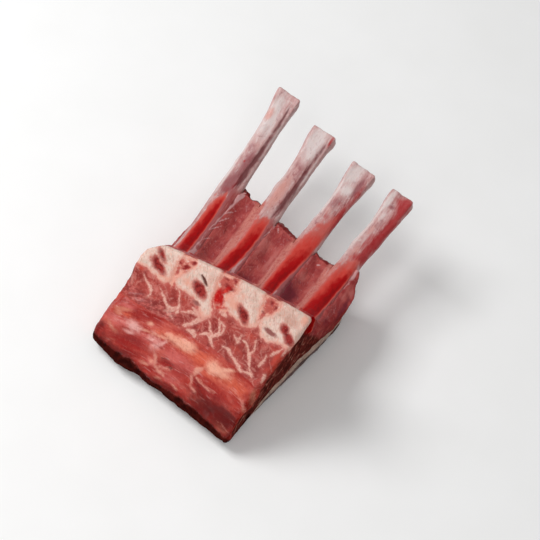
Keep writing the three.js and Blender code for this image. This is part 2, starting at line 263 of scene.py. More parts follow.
CLOTS = [
    (39.8, 8.6, 3.6, 1.9, 82), (41.2, 9, 3, 1.6, 70), (42.2, 5, 2.6, 0.8, 125),
    (42.2, 12.6, 2.4, 0.5, -16),
]
# Salmon and brownish stretches of the bones.
BONE_FLUSH = [
    (0, 7, 3, 3, 0.15), (13, 10.6, 7, 1.6, 0.9, 6), (24, 8.6, 5.5, 2.6, 0.8, 24), (17, 8, 2, 3, 0.7),
    (48, 8.4, 4.6, 4.4, 0.95, 30), (51, 3.6, 2.6, 2.2, 0.6), (82.6, 2, 2.2, 4, 1),
    (36.4, 18.6, 3.4, 3, 0.6), (57, 14, 5, 1.4, 0.7), (64, 11.4, 2.6, 2, 0.5),
    (79.6, 17, 2.6, 1.4, 0.6),
]
BONE_SHADE = [
    (34, 2, 3.4, 5, 0.6), (56, 3, 3.6, 5, 0.45), (76, 3, 6, 4, 0.6, 16), (76.5, 5.4, 4.6, 1.8, 0.9, 16),
    (81.6, 9, 1.6, 4, 0.5), (69.4, 5.6, 5, 0.9, 0.6, -38), (33.6, 10.2, 2, 4.6, 0.7, -14),
    (76, 6, 3, 2.5, 0.5), (-0.6, 1.6, 1.8, 2.2, 0.5), (58.6, 8, 1.6, 4, 0.4, -14),
    (37.4, 4, 1.2, 5, 0.3), (26.8, 5, 2.6, 1.4, 0.4, -30), (71.6, 1.4, 2.6, 1.2, 0.4),
]
# Darker, paler and brighter stretches of the sawn muscle.
MUSCLE_DARKS = [
    (30, 23, 5, 2.6, 0.6), (60, 27, 7, 5, 0.5), (70, 24, 5, 4, 0.6), (75, 28, 4, 6, 0.7),
    (3, 22, 6, 2.2, 0.8), (-4, 22.6, 3, 2, 0.7), (19, 18.6, 4, 3, 0.6, 45), (54, 33, 4, 2, 0.6, 20),
    (64, 31, 3, 2.4, 0.7), (50, 25, 4, 3, 0.5), (27, 25.5, 3, 1.6, 0.6), (42, 20, 2, 3, 0.4),
    (8, 14, 5, 1.6, 0.3, 30), (29, 16.4, 4, 1.2, 0.4, 10), (70, 33, 3, 3, 0.6),
]
MUSCLE_PALES = [
    (10.4, 17.4, 2.8, 1.6, 0.9, 50), (28, 17.4, 2.4, 1.3, 0.6, 20), (48, 22, 1.6, 3, 0.4),
    (-2.5, 17, 1.4, 4, 0.4), (57, 22, 2, 2.6, 0.5), (14, 24.4, 3, 0.9, 0.5, -20),
    (2, 26, 5, 0.8, 0.6, -12), (36, 21.5, 3, 1.6, 0.5, -40), (25, 20, 2, 1.4, 0.5),
    (44.5, 29, 1.6, 3, 0.4, -20), (66, 27, 1.6, 3.4, 0.4, -20), (4, 12, 3, 1.2, 0.4, 20),
]
MUSCLE_GLOWS = [
    (76.6, 24, 2.2, 7, 1), (73, 20, 3, 2, 0.5), (61, 19, 4, 2.4, 0.5), (11, 21.6, 2.6, 2.6, 0.4),
    (0, 11.4, 2.4, 1.4, 0.8), (57, 27, 4, 2.4, 0.5), (74, 30, 3, 3, 0.5), (14, 13, 3, 1.4, 0.5),
    (25, 16, 3, 1.6, 0.5),
]
# Fat seams in the muscle below them: places and half widths of each.
SEAMS = [
    [(11.5, 15.5, 0.1), (14.8, 19, 0.35), (17.5, 21.8, 0.6), (20, 23.4, 1.5), (20, 25, 1),
     (22.6, 26.8, 0.2)],
    [(17.4, 25.4, 0.1), (20, 23.6, 1.3), (22.3, 22.3, 0.8), (23.6, 20.5, 0.6), (23.2, 18.2, 0.3),
     (22, 15.5, 0.2), (20.8, 12.8, 0.2)],
    [(23.6, 20.5, 0.4), (24.3, 22.6, 0.5), (23.2, 24.2, 0.2)],
    [(2, 13.5, 0.15), (4.6, 15.6, 0.3), (7, 17.2, 0.6), (8.6, 18.8, 0.7), (8.6, 20.6, 0.3),
     (7.2, 22.5, 0.1)],
    [(15.6, 10, 0.4), (16.6, 13.2, 0.1)],
    [(18.7, 10.4, 0.4), (19.8, 13.2, 0.15)],
    [(38.6, 17.5, 1.4), (36.6, 20.2, 1.3), (34.3, 22.6, 0.9), (32.3, 25, 0.7), (30.2, 26.8, 0.8),
     (28.6, 27.5, 0.1)],
    [(35.2, 20.6, 0.9), (32.8, 19.2, 0.8), (30.6, 18, 0.15)],
    [(32.6, 20.4, 0.4), (30, 20.4, 0.6), (28.2, 21.4, 0.4), (25.6, 21.9, 0.1)],
    [(31.6, 28.6, 0.2), (34, 28.3, 1), (35.6, 29.2, 0.7), (36.3, 31.5, 0.35), (37, 34, 0.1)],
    [(39.4, 20.4, 0.15), (41.5, 23.2, 0.45), (43, 25, 0.7), (43.4, 26.6, 1.4), (43.9, 28.6, 0.7),
     (46.6, 31.2, 0.1)],
    [(44.4, 17.4, 0.1), (45.6, 20, 0.45), (46.4, 22.6, 0.45), (46.2, 24.6, 0.6), (44.2, 26, 0.7)],
    [(45, 18.4, 0.2), (47.6, 19.3, 0.4), (48.4, 21.6, 0.3), (47.6, 24.2, 0.3), (46.2, 25.2, 0.4)],
    [(43.4, 26.6, 0.9), (40.8, 26.4, 0.6), (37.8, 28.1, 0.15)],
    [(43.8, 14.6, 0.7), (45.2, 15, 1), (47.2, 15.3, 0.5)],
    [(50.2, 28.6, 0.15), (53.4, 28.9, 0.75), (55.6, 30.8, 0.4), (58.4, 32.3, 0.45), (60.9, 34, 0.6),
     (62, 36, 0.6), (62.9, 37.6, 0.15)],
    [(61.6, 35, 0.4), (64.5, 35.4, 0.4), (66.8, 34.8, 0.5), (68.9, 35.8, 0.3)],
    [(62, 36, 0.3), (59.5, 37.3, 0.45), (56.5, 38.8, 0.2)],
    [(53.4, 21.2, 0.1), (55, 22.6, 0.3), (56.2, 24, 0.4), (56.5, 22, 0.3), (56.9, 20.4, 0.1)],
    [(58.4, 21.8, 0.4), (60.6, 22.8, 0.35), (62.4, 25.2, 0.5), (63.6, 27, 0.85), (64.5, 29, 0.7),
     (65.4, 31.2, 0.45), (66.4, 33, 0.3), (68.2, 35, 0.4)],
    [(64.1, 20, 0.15), (64.9, 22.4, 0.3), (65.2, 24.6, 0.25), (63.8, 26.4, 0.3)],
    [(71.8, 23.6, 0.15), (71.3, 26.4, 0.4), (70.5, 28.4, 0.5), (69.6, 30, 0.2)],
    [(73.4, 23.2, 0.15), (74.6, 21.4, 0.55), (76.2, 20, 0.35), (77.4, 18.2, 0.15)],
    [(75.6, 16.6, 0.4), (79.2, 17.8, 0.5), (78.4, 21, 0.2)],
    [(73.8, 33.2, 0.8), (73.3, 36, 0.5)],
]
# Lower limit of the marbled muscle, where the glossy sinewed muscle begins.
SINEW_EDGE = [
    (-10, 24), (-3, 25.5), (8, 27.6), (21, 28.4), (35, 30.6), (47, 31.8), (57, 34), (66, 37.6),
    (80, 41),
]


def face_place(points):
    """Along and down the saw face, along the line of sight, and out of it, in millimetres."""
    away = points - FACE_CORNER
    out = away @ FACE_OUT
    flat = away - np.outer(out / (LINE_OF_SIGHT @ FACE_OUT), LINE_OF_SIGHT)
    return np.c_[flat @ FACE_ALONG, flat @ FACE_DOWN, out]


def rib_line(node):
    """Y, X and Z of the middle of a rib, from one end to the other."""
    points = points_of(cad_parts[node].data)
    stations = np.unique(points[:, 1].round(2))
    middles = [points[abs(points[:, 1] - y) < 0.02].mean(axis=0) for y in stations]
    return np.array(middles)[:, [1, 0, 2]].T


RIB_NODES = ["rib_1", "rib_2", "rib_3", "rib_4"]
rib_lines = [rib_line(node) for node in RIB_NODES]

# The rib side: blood lies along each rib, fat along its left and a dull red film along its right.
# Stations of the blood are (Y, left edge, right edge, redness at the left, at the right), with the
# edges measured from the middle of the rib.
BLOOD_RUNS = [
    [(-24, -3.7, 1.6, 0.9, 1), (-8, -3.6, 1.7, 0.75, 1), (6, -3.4, 1.7, 0.5, 1),
     (14, -3.2, 1.6, 0.46, 0.9), (18.5, -3.2, 1.6, 0.4, 0.76), (21.5, -3.2, 1.6, 0.26, 0.4),
     (25, -3.2, 1.4, 0, 0)],
    [(-24, -4.2, 1.5, 0.95, 1), (-14, -4, 1.9, 0.85, 1), (-5, -3.5, 2.9, 0.7, 1),
     (5, -3, 3.6, 0.55, 0.95), (12, -3, 3.6, 0.46, 0.78), (16.5, -3.2, 3.4, 0.4, 0.6),
     (19.5, -3.2, 3.4, 0.32, 0.4), (23, -3, 3, 0, 0)],
    [(-24, -3, 1.8, 0.95, 1), (-10, -3.6, 2, 0.85, 1), (-2, -3.9, 2.8, 0.62, 1),
     (6, -3.8, 3.8, 0.56, 0.88), (13, -3.6, 4.6, 0.54, 0.72), (20, -3.4, 4.8, 0.48, 0.56),
     (27, -3.2, 5, 0.22, 0.36), (38, -2.4, 5, 0.02, 0.15), (48, -1, 4.6, 0, 0)],
    [(-24, -4.4, 3.4, 0.9, 1), (-12, -4, 3.6, 0.75, 1), (0, -3.6, 4.2, 0.52, 1),
     (8, -3.4, 4.6, 0.42, 0.95), (14, -3, 4.7, 0.36, 0.66), (19, -2.8, 4.6, 0.2, 0.4),
     (26, -2.6, 4.6, 0, 0)],
]
# The chest's white lining, in lines along the ribs' right sides: places (X, Y) and half widths.
LININGS = [
    [(-28.6, -19, 0.9), (-28.7, -10, 0.45), (-28.4, 0, 0.12), (-27.6, 10, 0.25), (-26.8, 18, 0.5),
     (-25.6, 28, 1)],
    [(-28.4, 2, 0.1), (-26.4, 5.2, 0.4), (-25.2, 6.6, 0.05)],
    [(-27.8, 8, 0.1), (-25.6, 11.4, 0.4), (-24.6, 12.6, 0.05)],
    [(-27.2, 14, 0.2), (-25.2, 16.8, 0.4), (-24.2, 18, 0.05)],
    [(-28.4, -6, 0.1), (-26.8, -3.4, 0.3), (-25.8, -2.2, 0.05)],
    [(-7, -21, 1.3), (-7.2, -12, 0.7), (-6, -4, 0.12)],
    [(-4.6, 10, 0.1), (-4.2, 16, 0.3), (-3.8, 21, 0.4)],
    [(15.4, -22, 0.5), (15.6, -14, 0.15)],
    [(41.3, 4, 0.1), (42, 11, 0.5), (42.4, 16, 1), (41.6, 21.5, 0.8)],
]
# Purple and dark patches of the muscle between: middle (X, Y), half sizes, strength, turn.
BRUISES = [
    (21.4, -12.5, 6.2, 8.6, 1), (17.8, -9, 3, 9, 0.9), (21, 12.5, 1.8, 3, 0.4), (0, -16, 4.6, 6, 0.7),
    (-24, -14, 4, 6, 0.35), (3, 16, 2.4, 2, 0.3), (24, -1, 5, 1.2, 0.3, 40), (46.6, -4, 1.6, 12, 0.9),
    (43.4, -17, 2.4, 6, 0.6), (1.4, -3, 1.6, 4, 0.3, -30),
]
# Pinker patches and pale bits of it.
BLUSHES = [
    (4.6, 2, 1.8, 12, 0.95), (-3.6, 7, 1.2, 12, 1), (-1, 8, 3.4, 8, 0.6), (22, 1, 3, 5, 0.7),
    (27.6, -4, 1.6, 9, 0.6), (-18, 12, 1.4, 9, 0.35), (46.2, 5, 1.4, 4, 0.9, 10),
    (26, 8, 2.6, 2.4, 0.3), (44, 3, 1, 7, 0.8), (-1.6, -7.6, 3.4, 0.6, 0.7, 50),
    (41.8, -4, 0.9, 9, 0.5), (-22, 22, 3, 4, 0.3),
]
PALE_BITS = [
    (-25.2, 29.4, 1.4, 1, 0.9), (-1.2, 19.6, 1.5, 0.9, 0.9), (25, 11.6, 1.2, 0.8, 1),
    (-17, 25.6, 1.2, 1.4, 0.6), (6.4, 17.4, 1, 0.8, 0.6), (-26, 16, 1.4, 0.5, 0.7, 40),
    (-26.4, 8, 1.4, 0.5, 0.7, 50), (-27.4, 1, 1.2, 0.5, 0.6, 50), (43.4, 12, 0.5, 3, 0.6, -14),
]
# The meat between the ribs ends along this line (X, Y).
FREE_EDGE_Y = [
    (-40, 25.6), (-27, 29.5), (-20, 28), (-14, 27.2), (-3, 21.5), (6, 18.6), (12, 17), (20, 16.6),
    (24, 14.8), (28, 13.6), (38, 14.6), (42, 18.4), (44, 17), (48, 10),
]
CREST_LEAN = 3.4  # how far all this leans to the right as it runs up the back of the crest


def rib_side(points):
    """Places across the nearest rib and above its middle, how bare it is, and masks of its colours."""
    lean = CREST_LEAN * ease_in(points[:, 1], -25, -32)
    x, y, z = (points - np.outer(lean, (1, 0, 0))).T
    across_each = [x - np.interp(y, line_y, line_x) for line_y, line_x, _ in rib_lines]
    nearest = np.argmin(np.abs(across_each), axis=0)
    across = np.choose(nearest, across_each)
    up = z - np.choose(nearest, [np.interp(y, line_y, line_z) for line_y, _, line_z in rib_lines])
    wander = lumps(np.c_[x / 1.6, y / 9, z / 5], 1, 90)
    fray = lumps(np.c_[x, y / 2.6, z / 3], 1, 91)
    blood, left_edge, right_edge = np.zeros((3, len(y)))
    for i, stations in enumerate(BLOOD_RUNS):
        at, left, right, red_left, red_right = np.array(stations).T
        rib_left = np.interp(y, at, left) + 0.45 * wander + 0.25 * fray
        rib_right = np.interp(y, at, right) + 0.25 * wander + 0.2 * fray
        share = ease_in(across, rib_left - 0.2, rib_left + 0.8 * (rib_right - rib_left))
        late = y + 2 * wander + fray
        run = np.interp(late, at, red_left) * (1 - share) + np.interp(late, at, red_right) * share
        run *= ease_in(across, rib_left - 1.8, rib_left + 1.6)
        run *= ease_in(across, rib_right + 0.9, rib_right - 0.9)
        here = nearest == i
        blood[here], left_edge[here], right_edge[here] = run[here], rib_left[here], rib_right[here]
    free_edge = on_line(x, FREE_EDGE_Y)
    bare = ease_in(y, free_edge - 1, free_edge + 6)
    right_side = ease_in(across, right_edge - 0.5, right_edge + 0.5)
    right_side *= 1 - ease_in(y, free_edge - 6, free_edge + 5)
    film = right_side * np.where(nearest < 3, 1, 0.4)
    film_width = np.interp(y, (-22, -8, 4, 25), (2.6, 1.3, 0.7, 1.2)) + 0.6 * fray + 0.5 * wander
    film *= ease_in(across, right_edge + film_width + 1.8, right_edge + film_width - 0.8)
    fat_side = ease_in(across, left_edge + 0.6, left_edge - 1)
    fat_side *= ease_in(-across, 9 + 0.8 * wander, 5.8 + 0.8 * wander) * (1 - bare) * (nearest > 0)
    flat = np.c_[x + 0.7 * fray, y + 1.2 * wander]
    feathered = flat + np.c_[0.5 * wander, 1.5 * fray]
    return across, up, bare, {
        "blood": blood, "film": film, "fat_side": fat_side, "right_side": right_side,
        "lining": ease_in(strands(feathered, LININGS), 0.5, -0.5),
        "bruise": washes(flat, BRUISES),
        "blush": washes(flat, BLUSHES),
        "pale_bits": washes(flat, PALE_BITS),
    }


block = skin_round("sawn joint", BLOCK_NODES, GAP_CLOSED, BLOCK_GRAIN)
soften(block, rounds=12)
points = points_of(block)
normals = normals_of(block)
x, y, z = points.T
# The meat laps up against the ribs, so that no groove shows beside them.
MEAT_LIP = 0.9
across, up, _, _ = rib_side(points)
beside = abs(across)
place = face_place(points)
lap = ease_in(beside, 9, 6.2) * ease_in(beside, 4.4, 5.4) * ease_in(up, -2.6, -0.4)
lap *= ease_in(y - on_line(x, FREE_EDGE_Y), 0, -3)
lap *= ease_in(place[:, 2], -3.5, -6)
z += MEAT_LIP * lap
x -= MEAT_LIP * lap * np.sign(across)

# A tendon beside the last rib, and the bulge of the meat under it.
TENDON_REACH = 5
END_BULGE = 1.5
tendon = ease_in(x, 39.8, 41.8) * ease_in(x, 46.5, 43.5)
y += TENDON_REACH * tendon * ease_in(y, 3, 12)
swell = np.exp(-(((y - 4) / 6) ** 2))
x += END_BULGE * ease_in(normals[:, 0], 0, 0.5) * swell

place = face_place(points)
along, down, out = place.T
on_face = place[:, :2]
crooked = on_face + 0.45 * np.c_[lumps(place, 2.4, 16), lumps(place, 2.4, 17)]
crooked += 0.22 * np.c_[lumps(place, 1.1, 18), lumps(place, 1.1, 19)]

facing = normals @ FACE_OUT
sawn = ease_in(out, -3, -1.4) * ease_in(facing, 0.2, 0.5)
under = ease_in(normals[:, 2], -0.25, -0.7)
# The end's brown begins along this line (down, along), a little way round the corner.
END_FROM = [
    (0, 84), (18, 81), (25, 78.6), (30, 76.8), (35, 75.6), (40, 74.6), (45, 74.4), (50, 73), (55, 70.4),
    (60, 69.2), (66, 69.2),
]
past_corner = ease_in(along - on_line(down, END_FROM) + 0.6 * lumps(place, 2.4, 25), -0.9, 0.7)
right_end = ease_in(normals[:, 0], 0.45, 0.75) * past_corner
left_end = ease_in(normals[:, 0], -0.45, -0.75)
round_corner = ease_in(normals[:, 0], 0.3, 0.6) * (1 - past_corner)
below_edge = down - on_line(along, SINEW_EDGE) + 0.8 * lumps(place, 4, 3)
in_front = np.maximum(ease_in(facing, -0.35, 0.1) * (1 - right_end), round_corner)
in_front *= ease_in(y, -34, -42)
sinewed = in_front * ease_in(below_edge, -1.2, 1.6)
cage = ease_in(out, -2, -2.8) * ease_in(normals[:, 2], -0.3, 0.1) * ease_in(down, 9, 6)
uneven_y = y + 4 * lumps(points, 7, 21) + 1.5 * lumps(points, 2.4, 22)
behind = ease_in(uneven_y, -33, -26) * ease_in(normals[:, 2] + 0.2 * lumps(points, 3, 23), -0.6, -0.2)
cage = np.maximum(cage, behind * (1 - right_end))

hidden = FAR * ease_in(out, -2.6, -3.4)
bone = np.min([inside_outline(crooked, outline) for outline in BONE_OUTLINES], axis=0)
bone += hidden
marrow = ovals(crooked, MARROW) + hidden
slit = strands(on_face, SLITS) + hidden
grey_marrow = ovals(crooked, GREY_MARROW) + hidden
blots = ovals(crooked, BLOTS) + hidden
clots = ovals(crooked, CLOTS) + hidden
seam = strands(crooked, SEAMS) + FAR * (1 - sawn)

bony = ease_in(bone, 0.6, -0.6)
# The sponge between the bones reaches down to this line (along, down).
SPONGE_DOWN_TO = [
    (10, 9), (17, 13), (22, 8), (36, 8), (40, 14.5), (46, 13.5), (50, 8), (58, 8), (62, 8.5), (68, 6),
    (80, 0),
]
sponge = ease_in(down - on_line(along, SPONGE_DOWN_TO), 0.9, -0.9) * sawn * (1 - bony)

# Fine marbling: short strokes of fat that run down and to the right through the sawn muscle.
STROKES = 150
draw = np.random.default_rng(5)
flecks = []
for start_along, start_down, length, lean, half in zip(
    draw.uniform(-3, 76, STROKES), draw.uniform(10, 35, STROKES), draw.uniform(1.6, 5.5, STROKES),
    np.radians(draw.normal(62, 30, STROKES)), draw.uniform(0.05, 0.24, STROKES),
):
    start = np.array([start_along, start_down])
    run = length * np.array([math.cos(lean), math.sin(lean)])
    middle = start + 0.5 * run + draw.uniform(-0.6, 0.6, 2)
    flecks.append([(*start, 0.02), (*middle, half), (*(start + run), 0.02)])
fleck = np.full(len(points), FAR)
marbled = (sawn > 0.02) & (bone > -1)
fleck[marbled] = strands(crooked[marbled], flecks)

# The fibres of the sinewed muscle run along the face and sag to the right.
FIBRE_SAG = 0.002
grain_down = down - FIBRE_SAG * (along + 5) ** 2
streaks = np.c_[along / 12, grain_down / 3.2, out / 9]
_, _, _, rib_masks = rib_side(points)

# Bulges and pockets of the sinewed muscle: middle (along, down), half sizes, strength, turn.
BULGES = [
    (51.5, 39, 9, 3.4, 0.9, 6), (29, 35.6, 12, 2.6, 0.7), (5, 37.5, 6, 3.2, 0.7, 8),
    (19.6, 41, 4, 2.4, 0.6, -48), (60, 50, 9, 4, 0.5, 12), (4, 55.5, 12, 4, 1, 4),
]
POCKETS = [
    (28, 47.4, 4.4, 1.7, 0.9, 4), (47.5, 50.6, 5, 1.8, 0.8, 14), (8, 44.8, 8, 2.6, 0.6),
    (63.5, 57.6, 6, 3, 0.6, 8), (13, 30, 8, 1.8, 0.5, -6),
]
# Sinews that cross it, and a faint painted highlight by the right corner: places and half widths.
SINEWS_AND_HIGHLIGHT = [
    [(20.2, 44.2, 0.15), (21.2, 46, 0.6), (22.4, 48.6, 0.5), (23.6, 50.4, 0.7), (26, 51.8, 0.5),
     (28.4, 52.5, 0.2)],
    [(23.4, 50.2, 0.5), (26.5, 49.7, 0.5), (30.8, 49.1, 0.1)],
    [(44.6, 42.4, 0.6), (42.7, 44.6, 0.9), (41.6, 46.4, 0.5), (41.4, 48.6, 0.35), (42, 50.8, 0.35),
     (43.6, 52.2, 0.4), (45.8, 53.8, 0.15)],
    [(43.4, 46.9, 0.2), (45.6, 47.6, 0.45), (48, 48.6, 0.35), (51.2, 49.4, 0.2), (54.4, 49.6, 0.1)],
    [(58, 51.5, -0.8), (62, 53.4, -0.5), (66.5, 55.2, -0.8)],
    # A painted highlight along the edge of the right corner.
    [(60.5, 44.5, -0.4), (64.8, 45.6, 0), (68.6, 48.2, 0.2), (71.4, 52.4, 0.2)],
    [(58.6, 60.6, -0.7), (62.4, 62, -0.4), (66, 63.6, -0.4), (68.6, 64.6, -0.6)],
]
sinew_and_highlight = strands(crooked, SINEWS_AND_HIGHLIGHT) + FAR * (1 - in_front)

height = (0.4 * lumps(points, 9, 1) + 0.18 * lumps(points, 3.6, 2)) * (1 - 0.75 * bony)
height += 0.06 * lumps(points, 1.6, 3) * (1 - 0.5 * bony)
for amount, size, seed in [(0.26, 1, 4), (0.12, 0.5, 5), (0.06, 0.25, 6)]:
    height += sinewed * amount * lumps(streaks, size, seed)
height += sinewed * (0.8 * washes(on_face, BULGES) - 0.8 * washes(on_face, POCKETS))
low_bulge = 1.2 * washes(on_face, BULGES[-1:]) + 0.4 * lumps(points, 2.6, 7)
height += in_front * ease_in(down, 48, 56) * low_bulge
for amount, line, width in [(0.18, sinew_and_highlight, 0.6), (0.1, seam, 0.5), (0.06, fleck, 0.4)]:
    height += amount * np.exp(-((np.maximum(line, 0) / width) ** 2))
height -= 0.45 * ease_in(marrow, 0.4, -0.8) + 0.25 * ease_in(grey_marrow, 0.2, -0.7)
height -= 0.5 * ease_in(slit, 0.4, -0.1)
height -= sponge * (0.2 + 0.3 * lumps(points, 1.4, 8)) + 0.3 * ease_in(blots, 0.3, -0.4)
# Torn fibres above the edge of the sinewed muscle, towards its left end.
torn = ease_in(along, 32, 20) * in_front * ease_in(below_edge, -6.5, -4.5) * ease_in(below_edge, 1.5, 0)
slanting = np.c_[(along - 0.3 * down) / 6, (down + 0.3 * along) / 1.3, out / 4]
height += torn * (0.16 * lumps(slanting, 1, 9) + 0.1 * lumps(slanting, 0.5, 10))
height += cage * 0.1 * lumps(np.c_[x / 1.3, y / 7, out / 5], 1, 12)
past_edge = y - on_line(x, FREE_EDGE_Y)
ragged = ease_in(past_edge, -3, 0.4)
height += ragged * (0.8 * lumps(points, 3, 13) + 0.45 * lumps(points, 1.5, 14))
height *= ease_in(z, -0.4, 1.6) * 0.85 + 0.15  # flat where it lies on the table
set_points(block, points + normals * height[:, None])

keep_on(block, {
    "kept": np.ones(len(points)),
    "place": np.c_[along, grain_down, out],
    "torn_place": np.c_[along - 0.3 * down, down + 0.3 * along, out],
    "bone": bone, "marrow": marrow, "slit": slit, "grey_marrow": grey_marrow, "blots": blots,
    "clots": clots, "seam": seam, "fleck": fleck, "sponge": sponge, "sinewed": sinewed, "sinew_and_highlight": sinew_and_highlight,
    "torn": torn, "under": under, "right_end": right_end, "left_end": left_end, "cage": cage,
    "ragged": ragged,
    "edge_dark": ease_in(past_edge, 0.2, 1.1),
    "end_glow": ease_in(uneven_y, -16, 2),
    "dull": np.maximum(ease_in(normals[:, 0], 0.25, 0.5), under),
    "muscle_dark": washes(crooked, MUSCLE_DARKS),
    "muscle_pale": washes(crooked, MUSCLE_PALES),
    "muscle_glow": washes(crooked, MUSCLE_GLOWS),
    "sponge_red": washes(crooked, SPONGE_REDS),
    "bone_flush": washes(crooked, BONE_FLUSH),
    "bone_shade": washes(crooked, BONE_SHADE),
    **rib_masks,
})
blank = shown("sawn joint", block)
blank.hide_render = True
block_tree = KDTree(len(points))
for i, point in enumerate(points_of(block)):
    block_tree.insert(point, i)
block_tree.balance()


def mend(mesh):
    """The points that a cut adds take over what is stored on the nearest point of the block."""
    added = np.flatnonzero(read(mesh.attributes["kept"].data, "value") < 0.999)
    places = points_of(mesh)
    nearest = [block_tree.find(places[i])[1] for i in added]
    for stored in block.attributes:
        if stored.domain != "POINT" or stored.name == "position":
            continue
        wide, slot = (3, "vector") if stored.data_type == "FLOAT_VECTOR" else (1, "value")
        own = mesh.attributes[stored.name].data
        values = read(own, slot, wide)
        values[added] = read(stored.data, slot, wide)[nearest]
        own.foreach_set(slot, values.ravel())


def parted(name, cuts):
    """The part of the block that the knife leaves: cuts are (INTERSECT or DIFFERENCE, cutter)."""
    for operation, cutter in cuts:
        cut = blank.modifiers.new(cutter.name, "BOOLEAN")
        cut.operation = operation
        cut.solver = "MANIFOLD"
        cut.object = cutter
    mesh = with_modifiers(blank)
    mend(mesh)
    mesh.name = name
    mesh.shade_smooth()
    mesh.set_sharp_from_angle(angle=math.radians(50))
    return shown(name, mesh)


# ---- Sawn chine bones ----
# Four vertebrae, sawn off with the backbone and left in the crest of the joint. Cream bone with
# dark red marrow in ovals, and red spongy ends with a blood clot between the second and third.

BONE_CREAM = (228, 200, 187)
BONE_GREY = (212, 186, 172)
BONE_PINK = (222, 150, 132)
BONE_SALMON = (224, 156, 136)
BONE_BROWN = (176, 116, 98)
MARROW_RED = (152, 42, 38)
MARROW_DARK = (106, 12, 14)
MARROW_HALO = (196, 92, 80)
MARROW_GREY = (148, 88, 82)
SLIT_BROWN = (96, 50, 42)
SPONGE_RED = (184, 86, 76)
SPONGE_PALE = (222, 154, 136)
BLOT_RED = (138, 30, 30)
CLOT_RED = (178, 2, 2)
# A painted highlight on the clot.
CLOT_PAINTED_HIGHLIGHT = (214, 66, 54)
CUTTER_REACH = 9
BODY = "root"


def colour(red, green, blue):
    """A colour as seen on screen, 0 to 255, in the light units that a shader takes."""
    values = [v / 255 for v in (red, green, blue)]
    return [v / 12.92 if v <= 0.04045 else ((v + 0.055) / 1.055) ** 2.4 for v in values] + [1]


